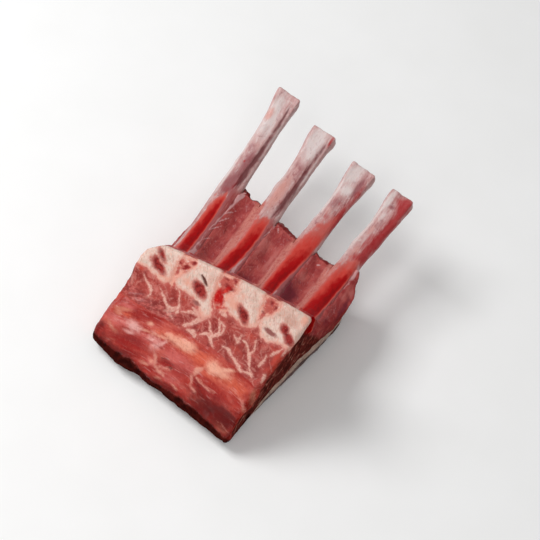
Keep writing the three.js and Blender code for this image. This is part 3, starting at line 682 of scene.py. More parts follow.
class Finish:
    """A material built up in layers. Sizes are in millimetres."""

    def __init__(self, name):
        self.material = bpy.data.materials.new(name)
        self.material.use_nodes = True
        self.tree = self.material.node_tree
        self.tree.nodes.clear()
        where = self.add("ShaderNodeTexCoord").outputs["Object"]
        self.body = self.add("ShaderNodeVectorMath", operation="SCALE", Vector=where, Scale=1 / MM)

    def add(self, kind, **given):
        node = self.tree.nodes.new(kind)
        for key, value in given.items():
            if key[0].islower() and hasattr(node, key):
                setattr(node, key, value)
                continue
            spot = node.inputs[int(key[1:]) if key[0] == "_" else key.replace("_", " ")]
            self.plug(value, spot)
        return node

    def plug(self, value, spot):
        if isinstance(value, bpy.types.Node):
            value = next(o for o in value.outputs if o.enabled)
        if isinstance(value, bpy.types.NodeSocket):
            self.tree.links.new(value, spot)
        else:
            spot.default_value = value

    def stored(self, name):
        return self.add("ShaderNodeAttribute", attribute_name=name).outputs["Fac"]

    def stored_place(self, name, *stretch):
        where = self.add("ShaderNodeAttribute", attribute_name=name).outputs["Vector"]
        return self.stretched(*stretch, where=where)

    def stretched(self, *stretch, where=None):
        """A place in which grain comes out drawn out by so much along each axis."""
        scale = tuple(1 / size for size in stretch)
        return self.add("ShaderNodeVectorMath", operation="MULTIPLY", _0=where or self.body, _1=scale)

    def grain(self, size, detail=3, where=None, blur=0.55, bend=0):
        node = self.add("ShaderNodeTexNoise", Vector=where or self.body, Scale=1 / size, Detail=detail)
        self.plug(blur, node.inputs["Roughness"])
        self.plug(bend, node.inputs["Distortion"])
        return node.outputs["Fac"]

    def runs(self, name, stretch, detail, bend=0):
        """Grain that runs along a stored place and is drawn out in it."""
        return self.grain(1, detail, self.stored_place(name, *stretch), bend=bend)

    def cells(self, size, where=None, feature="F1"):
        node = self.add("ShaderNodeTexVoronoi", feature=feature, Vector=where or self.body)
        self.plug(1 / size, node.inputs["Scale"])
        return node.outputs["Distance"]

    def veins(self, size, bend_size, bend):
        """Distance from the crooked lines between cells."""
        return self.cells(size, self.shaken(bend_size, bend), "DISTANCE_TO_EDGE")

    def shaken(self, size, amount, where=None):
        """A place moved about at random, so that cells and lines come out crooked."""
        node = self.add("ShaderNodeTexNoise", Vector=where or self.body, Scale=1 / size, Detail=2)
        shift = node.outputs["Color"]
        centred = self.add("ShaderNodeVectorMath", operation="SUBTRACT", _0=shift, _1=(0.5,) * 3)
        moved = self.add("ShaderNodeVectorMath", operation="SCALE", Vector=centred, Scale=amount)
        return self.add("ShaderNodeVectorMath", operation="ADD", _0=where or self.body, _1=moved)

    def step(self, value, low, high, most=1):
        """0 below low and most above high, or the other way round where low is the larger one."""
        node = self.add("ShaderNodeMapRange", interpolation_type="SMOOTHSTEP", Value=value)
        ends = (low, high, 0, most) if low < high else (high, low, most, 0)
        for name, level in zip(("From Min", "From Max", "To Min", "To Max"), ends):
            node.inputs[name].default_value = level
        return node.outputs["Result"]

    def sum(self, a, b):
        return self.add("ShaderNodeMath", operation="ADD", _0=a, _1=b)

    def times(self, a, b):
        return self.add("ShaderNodeMath", operation="MULTIPLY", _0=a, _1=b)

    def frayed(self, name, size, amount, where=None):
        """A stored distance or mask, shaken by fine noise."""
        shake = self.times(self.sum(self.grain(size, 4, where), -0.5), amount)
        return self.sum(self.stored(name), shake)

    def mixed(self, kind, a, b, weight):
        node = self.add("ShaderNodeMix", data_type="RGBA" if kind == "Color" else "FLOAT")
        sockets = {s.identifier: s for s in node.inputs}
        for name, value in {"Factor_Float": weight, f"A_{kind}": a, f"B_{kind}": b}.items():
            self.plug(colour(*value) if isinstance(value, tuple) else value, sockets[name])
        return next(o for o in node.outputs if o.identifier == f"Result_{kind}")

    def over(self, base, top, weight):
        """Lays the colour top over base."""
        return self.mixed("Color", base, top, weight)

    def tint(self, base, top, name, strength):
        """Lays the colour top over base where a stored mask reaches."""
        return self.over(base, top, self.times(self.stored(name), strength))

    def blend(self, a, b, weight):
        return self.mixed("Float", a, b, weight)

    def layers(self, base, rows):
        """Lays tints over base in turn. Rows are (tint, value, low, high, strength where not 1), and
        the value is a node's or (stored mask, size of its fraying, amount of it)."""
        for tint, value, low, high, *most in rows:
            if isinstance(value, tuple):
                value = self.frayed(*value)
            base = self.over(base, tint, self.step(value, low, high, *most))
        return base

    def done(self, base, roughness, relief, depth, wet=0.11, glow=0.05, shine=0.22):
        """Closes the material: relief is 0 to 1 over depth millimetres."""
        bump = self.add("ShaderNodeBump", Height=relief, Strength=1, Distance=depth * MM)
        shader = self.add("ShaderNodeBsdfPrincipled", Base_Color=base, Roughness=roughness, Normal=bump)
        for name, value in {
            "Subsurface Weight": glow, "Subsurface Radius": (1, 0.35, 0.2),
            "Subsurface Scale": 1.2 * MM, "Specular IOR Level": shine,
            "Coat Weight": wet, "Coat Roughness": 0.14, "IOR": 1.4,
        }.items():
            shader.inputs[name].default_value = value
        end = self.add("ShaderNodeOutputMaterial")
        self.tree.links.new(shader.outputs["BSDF"], end.inputs["Surface"])
        return self.material


# The lining of the chest, its blood and its bruises, laid over whatever is under it.
CAGE_ROSE = (166, 71, 67)
CAGE_RED = (146, 50, 50)
CAGE_PINK = (184, 104, 98)
CAGE_PURPLE = (108, 32, 42)
CAGE_FILM = (162, 93, 94)
CAGE_FAT = (192, 118, 108)
CAGE_LINING = (196, 146, 146)
BLOOD_SALMON = (192, 92, 84)
BLOOD_ORANGE = (196, 64, 54)
BLOOD_RED = (164, 0, 4)
BLOOD_DARK = (126, 0, 4)
CREST_SHADE = (96, 6, 8)


def lining_layers(finish, base):
    along_rib = finish.stretched(1, 6, 4)
    fat = finish.layers(CAGE_FAT, [
        (CAGE_ROSE, finish.grain(1.6, 4, bend=0.8), 0.46, 0.66, 0.55),
        (CAGE_LINING, finish.grain(1, 3, along_rib), 0.55, 0.75, 0.5),
    ])
    blood = finish.frayed("blood", 1.6, 0.42, finish.stretched(1, 2.2, 1.6))
    return finish.layers(base, [
        (CAGE_FILM, ("film", 1.6, 0.7), 0.1, 0.95, 0.8),
        (fat, ("fat_side", 1.2, 1, along_rib), 0.1, 0.95),
        (CAGE_LINING, ("lining", 0.9, 0.7, along_rib), 0.2, 0.95),
        (BLOOD_SALMON, blood, 0.06, 0.32),
        (BLOOD_ORANGE, blood, 0.28, 0.6),
        (BLOOD_RED, blood, 0.55, 0.88),
        (BLOOD_DARK, blood, 0.88, 1.08, 0.8),
    ])


def cage_layers(finish, base):
    """Muscle between the ribs, on the rib side of the joint."""
    drifting = finish.shaken(3, 2, finish.stored_place("torn_place", 1, 3.4, 2))
    fibres = finish.grain(1, 3, finish.stretched(0.6, 4, 3))
    rose = finish.layers(CAGE_RED, [
        (CAGE_ROSE, finish.grain(6, 3, bend=0.5), 0.38, 0.62),
        (CAGE_PINK, finish.grain(2, 4, bend=0.8), 0.54, 0.8, 0.5),
        (CAGE_LINING, finish.grain(1, 4, drifting, bend=0.8), 0.56, 0.76, 0.4),
        (CAGE_PINK, fibres, 0.52, 0.78, 0.4),
        (CAGE_PURPLE, fibres, 0.46, 0.24, 0.4),
        (CAGE_PINK, ("blush", 1.8, 0.5), 0.15, 0.95, 0.8),
        (CAGE_PURPLE, ("bruise", 2, 0.4), 0.15, 0.95),
        (CREST_SHADE, ("edge_dark", 1, 0.8), 0.5, 0.9, 0.8),
        (CAGE_LINING, ("pale_bits", 0.8, 0.6), 0.3, 0.8),
    ])
    return finish.over(base, lining_layers(finish, rose), finish.stored("cage"))


def bone_layers(finish, base):
    """Lays the sawn bones, their marrow and the sponge between them over the muscle."""
    sponge = finish.layers(SPONGE_PALE, [
        (BONE_CREAM, finish.grain(1.6, 4, bend=0.6), 0.5, 0.75),
        (SPONGE_RED, ("sponge_red", 1.3, 0.9), 0.1, 0.62),
        (SPONGE_PALE, finish.grain(0.9, 3), 0.55, 0.75, 0.6),
        (BLOT_RED, ("blots", 0.9, 1.4), 0.5, -0.6),
    ])
    streaks = finish.runs("torn_place", (1, 3.2, 2), 4, 0.8)
    body = finish.layers(BONE_CREAM, [
        (BONE_GREY, finish.grain(3, 4, bend=0.6), 0.42, 0.72),
        (BONE_BROWN, streaks, 0.5, 0.66, 0.5),
        (BONE_SALMON, streaks, 0.46, 0.32, 0.6),
        (BONE_BROWN, ("bone_shade", 1.5, 0.7), 0.1, 0.9, 0.55),
        (BONE_SALMON, ("bone_flush", 1.6, 0.8), 0.15, 0.95, 0.85),
        (BONE_PINK, ("bone", 1, 2.2), -2.2, 0.4, 0.8),
        (BONE_PINK, finish.veins(3, 2, 3), 0.07, 0, 0.35),
        (SPONGE_RED, ("sponge_red", 1.3, 0.6), 0.25, 0.85, 0.8),
    ])
    # The clot, with painted highlights.
    clot = finish.over(CLOT_RED, CLOT_PAINTED_HIGHLIGHT, finish.step(finish.grain(1.8, 3), 0.5, 0.7, 0.7))
    core = finish.over(MARROW_RED, MARROW_DARK, finish.step(finish.grain(1.6, 3), 0.42, 0.66))
    base = finish.layers(base, [
        (MUSCLE_PALE, ("bone", 1.4, 3.4), 2.6, 0, 0.5),
        (sponge, ("sponge", 1.2, 0.7), 0.2, 0.8),
        (body, ("bone", 0.9, 1.8), 0.7, -0.4),
        (clot, ("clots", 1.2, 1.6), 1, -0.8),
        (MARROW_HALO, ("marrow", 0.9, 1.2), 1.3, 0.1, 0.6),
        (core, ("marrow", 0.8, 1.4), 0.9, -0.8),
    ])
    flecks = finish.step(finish.grain(0.6, 2), 0.6, 0.75, 0.6)
    flecks = finish.times(flecks, finish.step(finish.stored("marrow"), 0.4, -0.4))
    return finish.layers(finish.over(base, MARROW_HALO, flecks), [
        (SLIT_BROWN, ("slit", 0.8, 0.6), 0.6, -0.2),
        (MARROW_GREY, ("grey_marrow", 0.7, 1), 0.5, -0.5),
    ])


# The bone and meat materials start from the cut muscle below, and the cap muscle from it in its own
# colours.
MUSCLE_DEEP = (136, 42, 38)
MUSCLE = (172, 70, 62)
MUSCLE_PALE = (204, 118, 108)
MUSCLE_GLOW = (192, 68, 52)
FAT_CREAM = (224, 172, 156)
FAT_PINK = (206, 136, 124)
END_PALE = (156, 112, 96)
END_RED = (106, 38, 32)
# Dark brown of the cut ends, browned by the air and darkened further as painted shade.
END_BROWN_SHADE = (62, 24, 20)


def cut_muscle(finish, deep=MUSCLE_DEEP, middle=MUSCLE, pale=MUSCLE_PALE, fat=FAT_PINK):
    base = finish.layers(deep, [
        (middle, finish.grain(7, 3, bend=0.6), 0.34, 0.58),
        (deep, finish.grain(3.4, 3, bend=0.8), 0.48, 0.7, 0.6),
        (pale, finish.grain(1.8, 4, bend=1), 0.5, 0.78, 0.8),
        (fat, finish.grain(0.8, 3), 0.56, 0.76, 0.4),
    ])
    veins = finish.step(finish.veins(4.6, 3, 4), 0.075, 0.01)
    some = finish.step(finish.grain(7, 2), 0.48, 0.66, 0.55)
    return finish.over(base, fat, finish.times(veins, some))


def end_layers(finish):
    """Cut-end muscle, browned by the air and darkened as painted shade, redder towards the ribs."""
    streaks = finish.runs("place", (1.1, 7, 5), 4, 0.8)
    red = finish.over(MUSCLE_DEEP, MUSCLE, finish.step(finish.grain(2.6, 4, bend=0.6), 0.4, 0.65))
    return finish.layers(END_BROWN_SHADE, [
        (END_RED, streaks, 0.4, 0.62),
        (END_PALE, streaks, 0.56, 0.7, 0.85),
        (END_BROWN_SHADE, finish.grain(2.2, 4), 0.5, 0.7, 0.6),
        (red, ("end_glow", 3, 0.7), 0.15, 0.9, 0.8),
    ])


def flesh_relief(finish):
    fine = finish.grain(0.55, 4, blur=0.6)
    return finish.blend(fine, finish.grain(1.8, 3), 0.5)


def give(mesh, shiny, dull, masks):
    """Dull material on the faces whose points all store more than a half in one of the masks."""
    level = np.max([read(mesh.attributes[name].data, "value") for name in masks], axis=0)
    corners = read(mesh.loops, "vertex_index", kind=np.int32)
    starts = read(mesh.polygons, "loop_start", kind=np.int32)
    mesh.materials.clear()
    mesh.materials.append(shiny)
    mesh.materials.append(dull)
    least = np.minimum.reduceat(level[corners], starts)
    mesh.polygons.foreach_set("material_index", (least > 0.5).astype(np.int32))


def bone_finish(name, **surface):
    finish = Finish(name)
    # The right end, with its painted shade.
    muscle = finish.over(cut_muscle(finish), end_layers(finish), finish.stored("right_end"))
    base = cage_layers(finish, bone_layers(finish, muscle))
    pores = finish.grain(0.35, 3)
    return finish.done(base, 0.42, finish.blend(pores, finish.grain(1.6, 3), 0.5), 0.25, **surface)


def cutter_of(what, shape):
    name = f"cutter of {what}"
    cutter = shown(name, mesh_of(name, shape))
    cutter.hide_render = True
    return cutter


def bone_cutter(node):
    """Blunt block that takes one vertebra out of the joint, from its solid's own inner faces."""
    shape = bmesh.new()
    solid = points_of(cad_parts[node].data)
    for up in (0, CUTTER_REACH):
        for forward in (0, CUTTER_REACH):
            for point in solid - up * FACE_DOWN + forward * FACE_OUT:
                shape.verts.new(point * MM)
    hull = bmesh.ops.convex_hull(shape, input=shape.verts)
    spare = hull["geom_interior"] + hull["geom_unused"]
    loose = {item for item in spare if isinstance(item, bmesh.types.BMVert)}
    bmesh.ops.delete(shape, geom=list(loose), context="VERTS")
    return cutter_of(node, shape)


bone_materials = [
    bone_finish("sawn chine bone"),
    bone_finish("sawn chine bone, end", wet=0, shine=0),
]
bone_cutters = [bone_cutter(f"vertebra_{i}") for i in range(1, 5)]
for i, cutter in enumerate(bone_cutters, start=1):
    chine = parted(f"chine_bone_{i}", [("INTERSECT", cutter)])
    give(chine.data, *bone_materials, ["dull"])
    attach(chine, BODY)
    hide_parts(f"vertebra_{i}")

# ---- Fat layer and cap muscle ----
# Under the loin lie a layer of fat and, outermost, a thin muscle. Both are lens-shaped in section,
# thickest in the middle, and run through from one cut end to the other.

LAYERS_Y = -27.1  # middle of both layers
LAYERS_REACH = 37
LAYERS_THICK = (12, 20)  # at the left end, and from the last rib on
LAYERS_X = (-49.7, 34.9)
CAP_SHARE = 0.4
FLAT_TO_Y = -11.1  # the underside rises beyond this
RISE_SLOPE = 0.5
RISE_START = 8
LAYER_WAVE = 0.7
CUTTER_FLOOR = -40
FAT_WAX = (190, 162, 142)
FAT_GREY = (150, 118, 102)
CAP_RED = (86, 36, 32)
CAP_DARK = (50, 22, 20)
CAP_PALE = (126, 58, 52)
SKIN_SILVER = (150, 112, 104)


def layer_cutter(what, part):
    """Everything below the top of a layer that is this part of both, well outside the block too."""
    columns = np.linspace(-65, 65, 27)
    rows = np.linspace(-95, 95, 96)
    x, y = np.meshgrid(columns, rows, indexing="ij")
    thick = np.interp(x, LAYERS_X, LAYERS_THICK)
    dome = np.maximum(-1, 1 - ((y - LAYERS_Y) / LAYERS_REACH) ** 2)
    rise = RISE_SLOPE * (np.hypot(np.maximum(0, y - FLAT_TO_Y), RISE_START) - RISE_START)
    wave = lumps(np.c_[x.ravel(), y.ravel(), 0 * x.ravel()], 6, 20).reshape(x.shape)
    z = rise + part * (dome * thick + LAYER_WAVE * wave * np.clip(dome * 3, 0, 1))
    top = np.stack([x, y, z], axis=-1).reshape(-1, 3)
    bottom = top * (1, 1, 0) + (0, 0, CUTTER_FLOOR)
    wide, long = x.shape
    shape = bmesh.new()
    upper = [shape.verts.new(p * MM) for p in top]
    lower = [shape.verts.new(p * MM) for p in bottom]
    for i in range(wide - 1):
        for k in range(long - 1):
            a, b = i * long + k, (i + 1) * long + k
            c, d = b + 1, a + 1
            shape.faces.new([upper[n] for n in (a, b, c, d)])
            shape.faces.new([lower[n] for n in (d, c, b, a)])
    rim = [i * long for i in range(wide)] + [(wide - 1) * long + k for k in range(1, long)]
    rim += [i * long + long - 1 for i in range(wide - 2, -1, -1)] + list(range(long - 2, 0, -1))
    for a, b in zip(rim, rim[1:] + rim[:1]):
        shape.faces.new([upper[b], upper[a], lower[a], lower[b]])
    bmesh.ops.triangulate(shape, faces=shape.faces)
    return cutter_of(what, shape)


def fat_finish():
    finish = Finish("waxy fat")
    base = finish.layers(FAT_WAX, [
        (FAT_GREY, finish.grain(3.5, 4, bend=0.8), 0.35, 0.7),
        (FAT_PINK, finish.grain(6, 2), 0.5, 0.75, 0.5),
        (CAP_RED, finish.veins(4, 3, 3.5), 0.06, 0.01, 0.5),
    ])
    return finish.done(base, 0.45, flesh_relief(finish), 0.3, wet=0.03, shine=0.1)


def cap_finish():
    finish = Finish("cap muscle")
    base = cut_muscle(finish, CAP_DARK, CAP_RED, CAP_PALE, SKIN_SILVER)
    fibres = finish.runs("place", (9, 1.3, 1.3), 3)
    base = finish.over(base, CAP_DARK, finish.step(fibres, 0.5, 0.7, 0.6))
    film = finish.step(finish.grain(9, 3, bend=1.2), 0.52, 0.64, 0.75)
    base = finish.over(base, SKIN_SILVER, finish.times(film, finish.stored("under")))
    return finish.done(base, 0.45, flesh_relief(finish), 0.35, wet=0.04, shine=0.1)


below_fat = layer_cutter("fat", 1)
below_cap = layer_cutter("cap", CAP_SHARE)

fat = parted("outer_fat", [("INTERSECT", below_fat), ("DIFFERENCE", below_cap)])
fat.data.materials.clear()
fat.data.materials.append(fat_finish())
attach(fat, BODY)
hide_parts("fat_layer")

cap = parted("cap_muscle_piece", [("INTERSECT", below_cap)])
cap.data.materials.clear()
cap.data.materials.append(cap_finish())
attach(cap, BODY)
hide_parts("cap_muscle")

# ---- Loin and rib meat ----
# The eye of the loin under the backbone and the thin meat between the ribs, in one piece: marbled
# where the saw went through, glossy with sinew along the front, and filmed with the chest's lining
# between the ribs, where it ends in a ragged edge.

SINEW_DEEP = (134, 26, 24)
SINEW_RED = (168, 50, 42)
SINEW_SALMON = (204, 96, 82)
SINEW_ORANGE = (216, 98, 72)
SINEW_PINK = (208, 104, 98)
# Tan tissue, also used for painted highlights.
SINEW_TAN_AND_HIGHLIGHT = (204, 124, 102)
# Cream of pale tissue, also used for broad painted highlights.
SINEW_CREAM_AND_HIGHLIGHT = (236, 170, 146)
# Pale pink of painted highlights.
SINEW_PAINTED_HIGHLIGHT = (238, 178, 170)
# White of the sinews, also used for a painted highlight.
SINEW_WHITE_AND_HIGHLIGHT = (214, 140, 124)
SINEW_BLOOD = (146, 24, 22)
# Painted shade.
SINEW_PAINTED_SHADE = (98, 10, 9)
# Dark red, also used for painted shade.
SINEW_DARK_AND_SHADE = (72, 8, 8)
# Dried meat, darkened further as painted shade.
DRIED_SHADE_RED = (58, 16, 12)
DRIED_SHADE_BLACK = (26, 8, 7)
EDGE_FAT = (206, 150, 134)
TORN_DARK = (124, 36, 34)
SEAM_HALO = (192, 106, 96)

# Painted shade, lower right and along the dried edge: middle (along, down), half sizes, strength, turn.
PAINTED_SHADE_SPOTS = [
    (58, 57.5, 16, 5, 0.85, 14), (-2, 51, 12, 2.4, 0.8, 8), (25, 57, 14, 2.2, 0.7, 6),
    (52, 62.5, 14, 3, 0.6, 12), (72, 50, 2, 12, 0.6), (-11, 46, 2, 4, 0.6), (46, 53, 6, 3, 0.4, 10),
    (10, 49, 8, 2, 0.3, 4), (31, 57.4, 8, 1.8, 0.7, 5), (-9, 43.4, 3, 3, 0.7),
    (5, 51.4, 12, 1.8, 0.7, 4), (62, 59, 8, 5, 0.7, 10), (52, 60, 8, 3, 0.6, 12),
    (-6, 48, 5, 2, 0.5, 10), (64, 62.4, 8, 2.2, 0.5, 14), (68.4, 66, 3, 2.4, 0.8, 14),
]
# Colour patches of the sinewed muscle, measured in the same way.
SINEW_PATCHES = {
    "orange": [
        (42, 37.5, 12, 3.6, 0.9, 6), (28, 33.4, 8, 1.6, 0.6), (60, 42, 9, 3.2, 0.7, 14),
        (1.5, 34, 2.5, 1, 0.7), (22, 35, 6, 1.5, 0.6, -5), (48, 43.5, 8, 1.5, 0.5, 5),
        (66, 44, 4, 3, 0.4, 30),
    ],
    "pink": [
        (31, 42.6, 8, 3.4, 0.9, 4), (33, 50, 5, 2.5, 0.5), (0, 38, 5, 2, 0.8, 5),
        (32, 54, 6, 2, 0.7, 8), (44.5, 54, 1, 2.4, 0.6), (12, 39.5, 4, 1.4, 0.6, -20),
        (15.5, 40.2, 3.4, 1.6, 1, -24), (20, 49.4, 2.6, 1.6, 0.9), (0, 30, 4.6, 1.3, 0.8, -8),
        (-4.5, 38.6, 3.4, 2.6, 0.9, 30), (40, 44.6, 2.4, 1.6, 0.7), (13, 51.4, 3, 0.7, 0.5, -4),
    ],
    # Tan tissue, and painted highlights along the right corner's edge.
    "tan": [
        (-1, 32, 4.2, 0.9, 0.9, -8), (-3, 34.2, 2.6, 1.3, 0.9, 10), (-3.5, 42.5, 4, 1.1, 0.9, 38),
        (-1, 47.4, 2.2, 0.6, 0.7, -12), (72.4, 45, 3.4, 1.3, 1, 82), (63.5, 63.6, 5, 1.5, 0.8, 18),
        (72, 42, 3, 1, 0.4, 85), (70, 52, 3, 1, 0.4, 60),
    ],
    # Pale cream tissue, and broad painted highlights along the bulges.
    "cream_and_highlight": [
        (30, 35.2, 8, 2.2, 0.7), (35, 35.6, 3.5, 2.2, 0.8, 10), (25, 34, 3, 1.2, 0.4),
        (20, 36.6, 5, 0.9, 0.5, -6), (12, 36.8, 3, 0.7, 0.6, -8), (49.6, 39.4, 3.2, 2.8, 0.95),
        (55, 40.2, 4.6, 2.4, 0.75, 5), (57, 37.4, 3.2, 0.7, 0.8, -20), (43.2, 43.8, 2.4, 1.1, 0.9, -52),
        (45.5, 47.8, 2.4, 0.5, 0.7, 18), (26, 52.2, 2, 0.7, 0.6, 10), (25.8, 55.4, 2, 0.7, 0.6),
        (17.2, 51.3, 2.6, 0.8, 0.6, -4), (20.4, 49, 1.6, 1.2, 0.6), (35.2, 55.7, 2, 0.8, 0.7, 10),
        (73.2, 35, 2.2, 0.8, 0.9, 85), (13.5, 33, 1.5, 0.9, 0.8),
    ],
    # Painted highlights.
    "painted_highlight": [
        (6.4, 37.2, 4, 2.2, 1, 8), (5.2, 40.8, 2.8, 0.8, 0.9, -4), (20, 41.4, 3.6, 2.4, 0.7, -48),
        (16, 39, 2.6, 1.4, 0.5, -40), (23, 38.6, 1.6, 0.6, 0.8, -50), (17.5, 39.4, 1.4, 0.7, 0.8, -30),
        (-3, 38.5, 2, 1, 0.3), (27.4, 45, 1.6, 0.5, 0.6, 10), (61, 59, 0.8, 2.4, 0.3, 30),
    ],
    "blood_pool": [
        (12.5, 30, 8, 2.2, 0.9, -6), (8, 44.5, 6.5, 3, 1), (1, 46.8, 6, 2.4, 0.8, 10),
        (-10, 44.5, 2.2, 2.5, 0.8), (27.5, 47.4, 3.8, 1.6, 1, 6), (34, 49.5, 4, 1.8, 0.6),
        (21, 53, 2, 2.2, 0.6), (41.5, 34, 3, 1, 0.7), (48, 50.5, 6, 2, 0.8, 12),
        (56, 51, 7, 2.2, 0.7, 14), (70, 38.5, 2.5, 1.8, 0.7), (69, 45, 1.6, 2, 0.6),
        (14.5, 41.5, 2, 0.8, 0.4, -30), (8, 50, 6, 1.4, 0.5, 5),
    ],
    # Dark red, and painted shade in creases, below the marbled step and towards the lower right.
    "dark_and_shade": [
        (64.5, 58.4, 4.6, 3.8, 1, 8), (54, 57.6, 8, 3, 0.7, 12), (30, 48.6, 2, 0.5, 0.8, -8),
        (26, 45.4, 2.4, 0.4, 0.6), (45, 50, 2.5, 0.8, 0.5, 40), (0, 25, 6, 1.4, 0.6),
        (12, 53.8, 6, 1.2, 0.7, 4), (42, 60, 8, 1.2, 0.6, 10), (66, 34.3, 2, 1, 0.5, 20),
        (46, 57.5, 4, 1.4, 0.4, 12), (-9, 49.5, 4, 1.2, 0.7, 20),
    ],
}
# Tint of each and how strongly it covers, in the order in which they lie over one another.
SINEW_TINTS = [
    ("orange", SINEW_ORANGE, 0.85), ("pink", SINEW_PINK, 0.8), ("tan", SINEW_TAN_AND_HIGHLIGHT, 0.85),
    ("cream_and_highlight", SINEW_CREAM_AND_HIGHLIGHT, 0.95), ("painted_highlight", SINEW_PAINTED_HIGHLIGHT, 0.85), ("blood_pool", SINEW_BLOOD, 0.9),
    ("dark_and_shade", SINEW_DARK_AND_SHADE, 0.9),
]
# Below this line (along, down) its edge has dried dark, darkened further as painted shade.
DRIED_SHADE_FROM = [
    (-14, 46.6), (-10, 48.8), (-5, 50.6), (0, 51.6), (10, 52.4), (15, 54.2), (20, 56.2), (25, 57.5),
    (30, 58.2), (40, 59), (48, 61), (56, 63.4), (62, 65.4), (68, 67.6),
]
frontal = np.maximum(ease_in(facing, -0.4, 0), round_corner) * in_front
for name, spots in SINEW_PATCHES.items():
    keep_on(block, {name: washes(crooked, spots, 1.3) * frontal})
below_dried_shade = down - on_line(along, DRIED_SHADE_FROM) + 0.5 * lumps(place, 3, 28)
dried_shade = ease_in(below_dried_shade, -2, 2.2) * ease_in(y, -30, -38)
dried_shade_corner = 0.8 * ease_in(along, 71, 74) * ease_in(down, 50, 56)
keep_on(block, {
    "painted_shade": washes(crooked, PAINTED_SHADE_SPOTS) * frontal,
    "dried_shade": np.maximum(dried_shade, dried_shade_corner),
})


def meat_finish(name, **surface):
    finish = Finish(name)
    torn_grain = finish.stored_place("torn_place", 1, 2, 1.5)
    base = finish.layers(cut_muscle(finish), [
        (MUSCLE_DEEP, ("muscle_dark", 1.6, 0.9), 0.1, 0.85, 0.8),
        (MUSCLE_PALE, ("muscle_pale", 1.2, 0.9, torn_grain), 0.15, 0.85, 0.85),
        (MUSCLE_GLOW, ("muscle_glow", 1.8, 0.8), 0.1, 0.9, 0.75),
    ])
    # The cut ends, with their painted shade.
    end = end_layers(finish)
    base = finish.tint(base, end, "right_end", 0.95)
    base = finish.tint(base, end, "left_end", 0.4)
    # Fat seams of the sawn muscle.
    fat = finish.over(FAT_CREAM, FAT_PINK, finish.step(finish.grain(1.1, 3), 0.42, 0.68))
    base = finish.layers(base, [
        (SEAM_HALO, ("seam", 1.2, 1.8), 1.3, 0, 0.4),
        (FAT_PINK, ("fleck", 0.8, 0.9), 0.45, -0.2, 0.55),
        (fat, ("seam", 0.9, 1.5), 0.55, -0.3, 0.92),
    ])
    # Torn fibres above the sinewed muscle, then the sinewed muscle itself.
    runs = finish.runs("place", (14, 4, 3), 4, 0.4)
    fine_runs = finish.runs("place", (6, 0.9, 0.9), 3, 0.3)
    cross_runs = finish.runs("torn_place", (0.8, 2.6, 1), 4, 0.5)
    slanting = finish.runs("torn_place", (3.2, 1.2, 1.4), 4, 0.7)
    patch_runs = finish.stored_place("place", 1.6, 1.2, 1.2)
    torn = finish.over(TORN_DARK, SINEW_PINK, finish.step(slanting, 0.42, 0.66))
    base = finish.tint(base, torn, "torn", 0.45)
    glossy = finish.layers(SINEW_RED, [
        (SINEW_SALMON, runs, 0.46, 0.74, 0.7),
        (SINEW_DEEP, runs, 0.48, 0.28, 0.7),
    ])
    glossy = finish.layers(glossy, [
        (tint, (name, 1, 0.7, patch_runs), 0.05, 0.95, strength)
        for name, tint, strength in SINEW_TINTS
    ])
    glossy = finish.layers(glossy, [
        # Fine painted highlights along the fibres.
        (SINEW_PAINTED_HIGHLIGHT, fine_runs, 0.55, 0.8, 0.38),
        (SINEW_DEEP, fine_runs, 0.45, 0.24, 0.45),
        (SINEW_SALMON, cross_runs, 0.52, 0.78, 0.4),
        (SINEW_DEEP, cross_runs, 0.46, 0.24, 0.35),
        # Painted shade over it.
        (SINEW_PAINTED_SHADE, ("painted_shade", 1.4, 0.6, patch_runs), 0.1, 0.9, 0.85),
    ])
    base = finish.layers(base, [(glossy, ("sinewed", 1.6, 0.6), 0.25, 0.75)])
    # White lines of the sinews, and a painted highlight.
    lines = finish.step(finish.frayed("sinew_and_highlight", 0.9, 1.6), 1, -0.4)
    lines = finish.times(lines, finish.step(finish.grain(2.4, 3), 0.2, 0.6, 0.85))
    base = bone_layers(finish, finish.over(base, SINEW_WHITE_AND_HIGHLIGHT, lines))
    # The dried edge, darkened further as painted shade.
    dry_and_shade = finish.over(DRIED_SHADE_RED, DRIED_SHADE_BLACK, finish.step(finish.grain(3, 4), 0.4, 0.62))
    base = finish.layers(base, [(dry_and_shade, ("dried_shade", 1.2, 0.7), 0.2, 0.8, 0.95)])
    # Painted shade: the underside darkened in the same dried colour.
    base = finish.tint(base, dry_and_shade, "under", 0.5)
    # Ragged free edge.
    bits = finish.over(END_RED, EDGE_FAT, finish.step(finish.grain(2.2, 3), 0.58, 0.68))
    base = finish.tint(base, bits, "ragged", 0.5)
    base = cage_layers(finish, base)
    roughness = finish.blend(0.42, 0.33, finish.stored("sinewed"))
    return finish.done(base, roughness, flesh_relief(finish), 0.32, **surface)


meat = parted(
    "loin_and_rib_meat",
    [("DIFFERENCE", below_fat)] + [("DIFFERENCE", cutter) for cutter in bone_cutters],
)
dry_meat = meat_finish("raw lamb, dried", wet=0, shine=0)
give(meat.data, meat_finish("raw lamb"), dry_meat, ["dull", "dried_shade"])
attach(meat, BODY)
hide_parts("meat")

for tool in [blank, below_fat, below_cap] + bone_cutters:
    bpy.data.objects.remove(tool)

# ---- Rib bones ----
# Four flat, curved ribs, scraped clean from the edge of the meat to their sawn tips. Greyish white
# bone stained pink, with blood run down the hollow face at the backbone end.

RIB_GRAIN = 0.45
RIB_PALE = (214, 199, 196)
RIB_WHITE = (228, 217, 213)
RIB_MAUVE = (142, 78, 82)
RIB_PINK = (194, 152, 149)
RIB_PEACH = (204, 144, 134)
RIB_RED = (162, 0, 12)
# Dark red in the groove, deepened as painted shade.
RIB_GROOVE_RED_AND_SHADE = (92, 32, 36)
RIB_MARROW = (150, 84, 76)
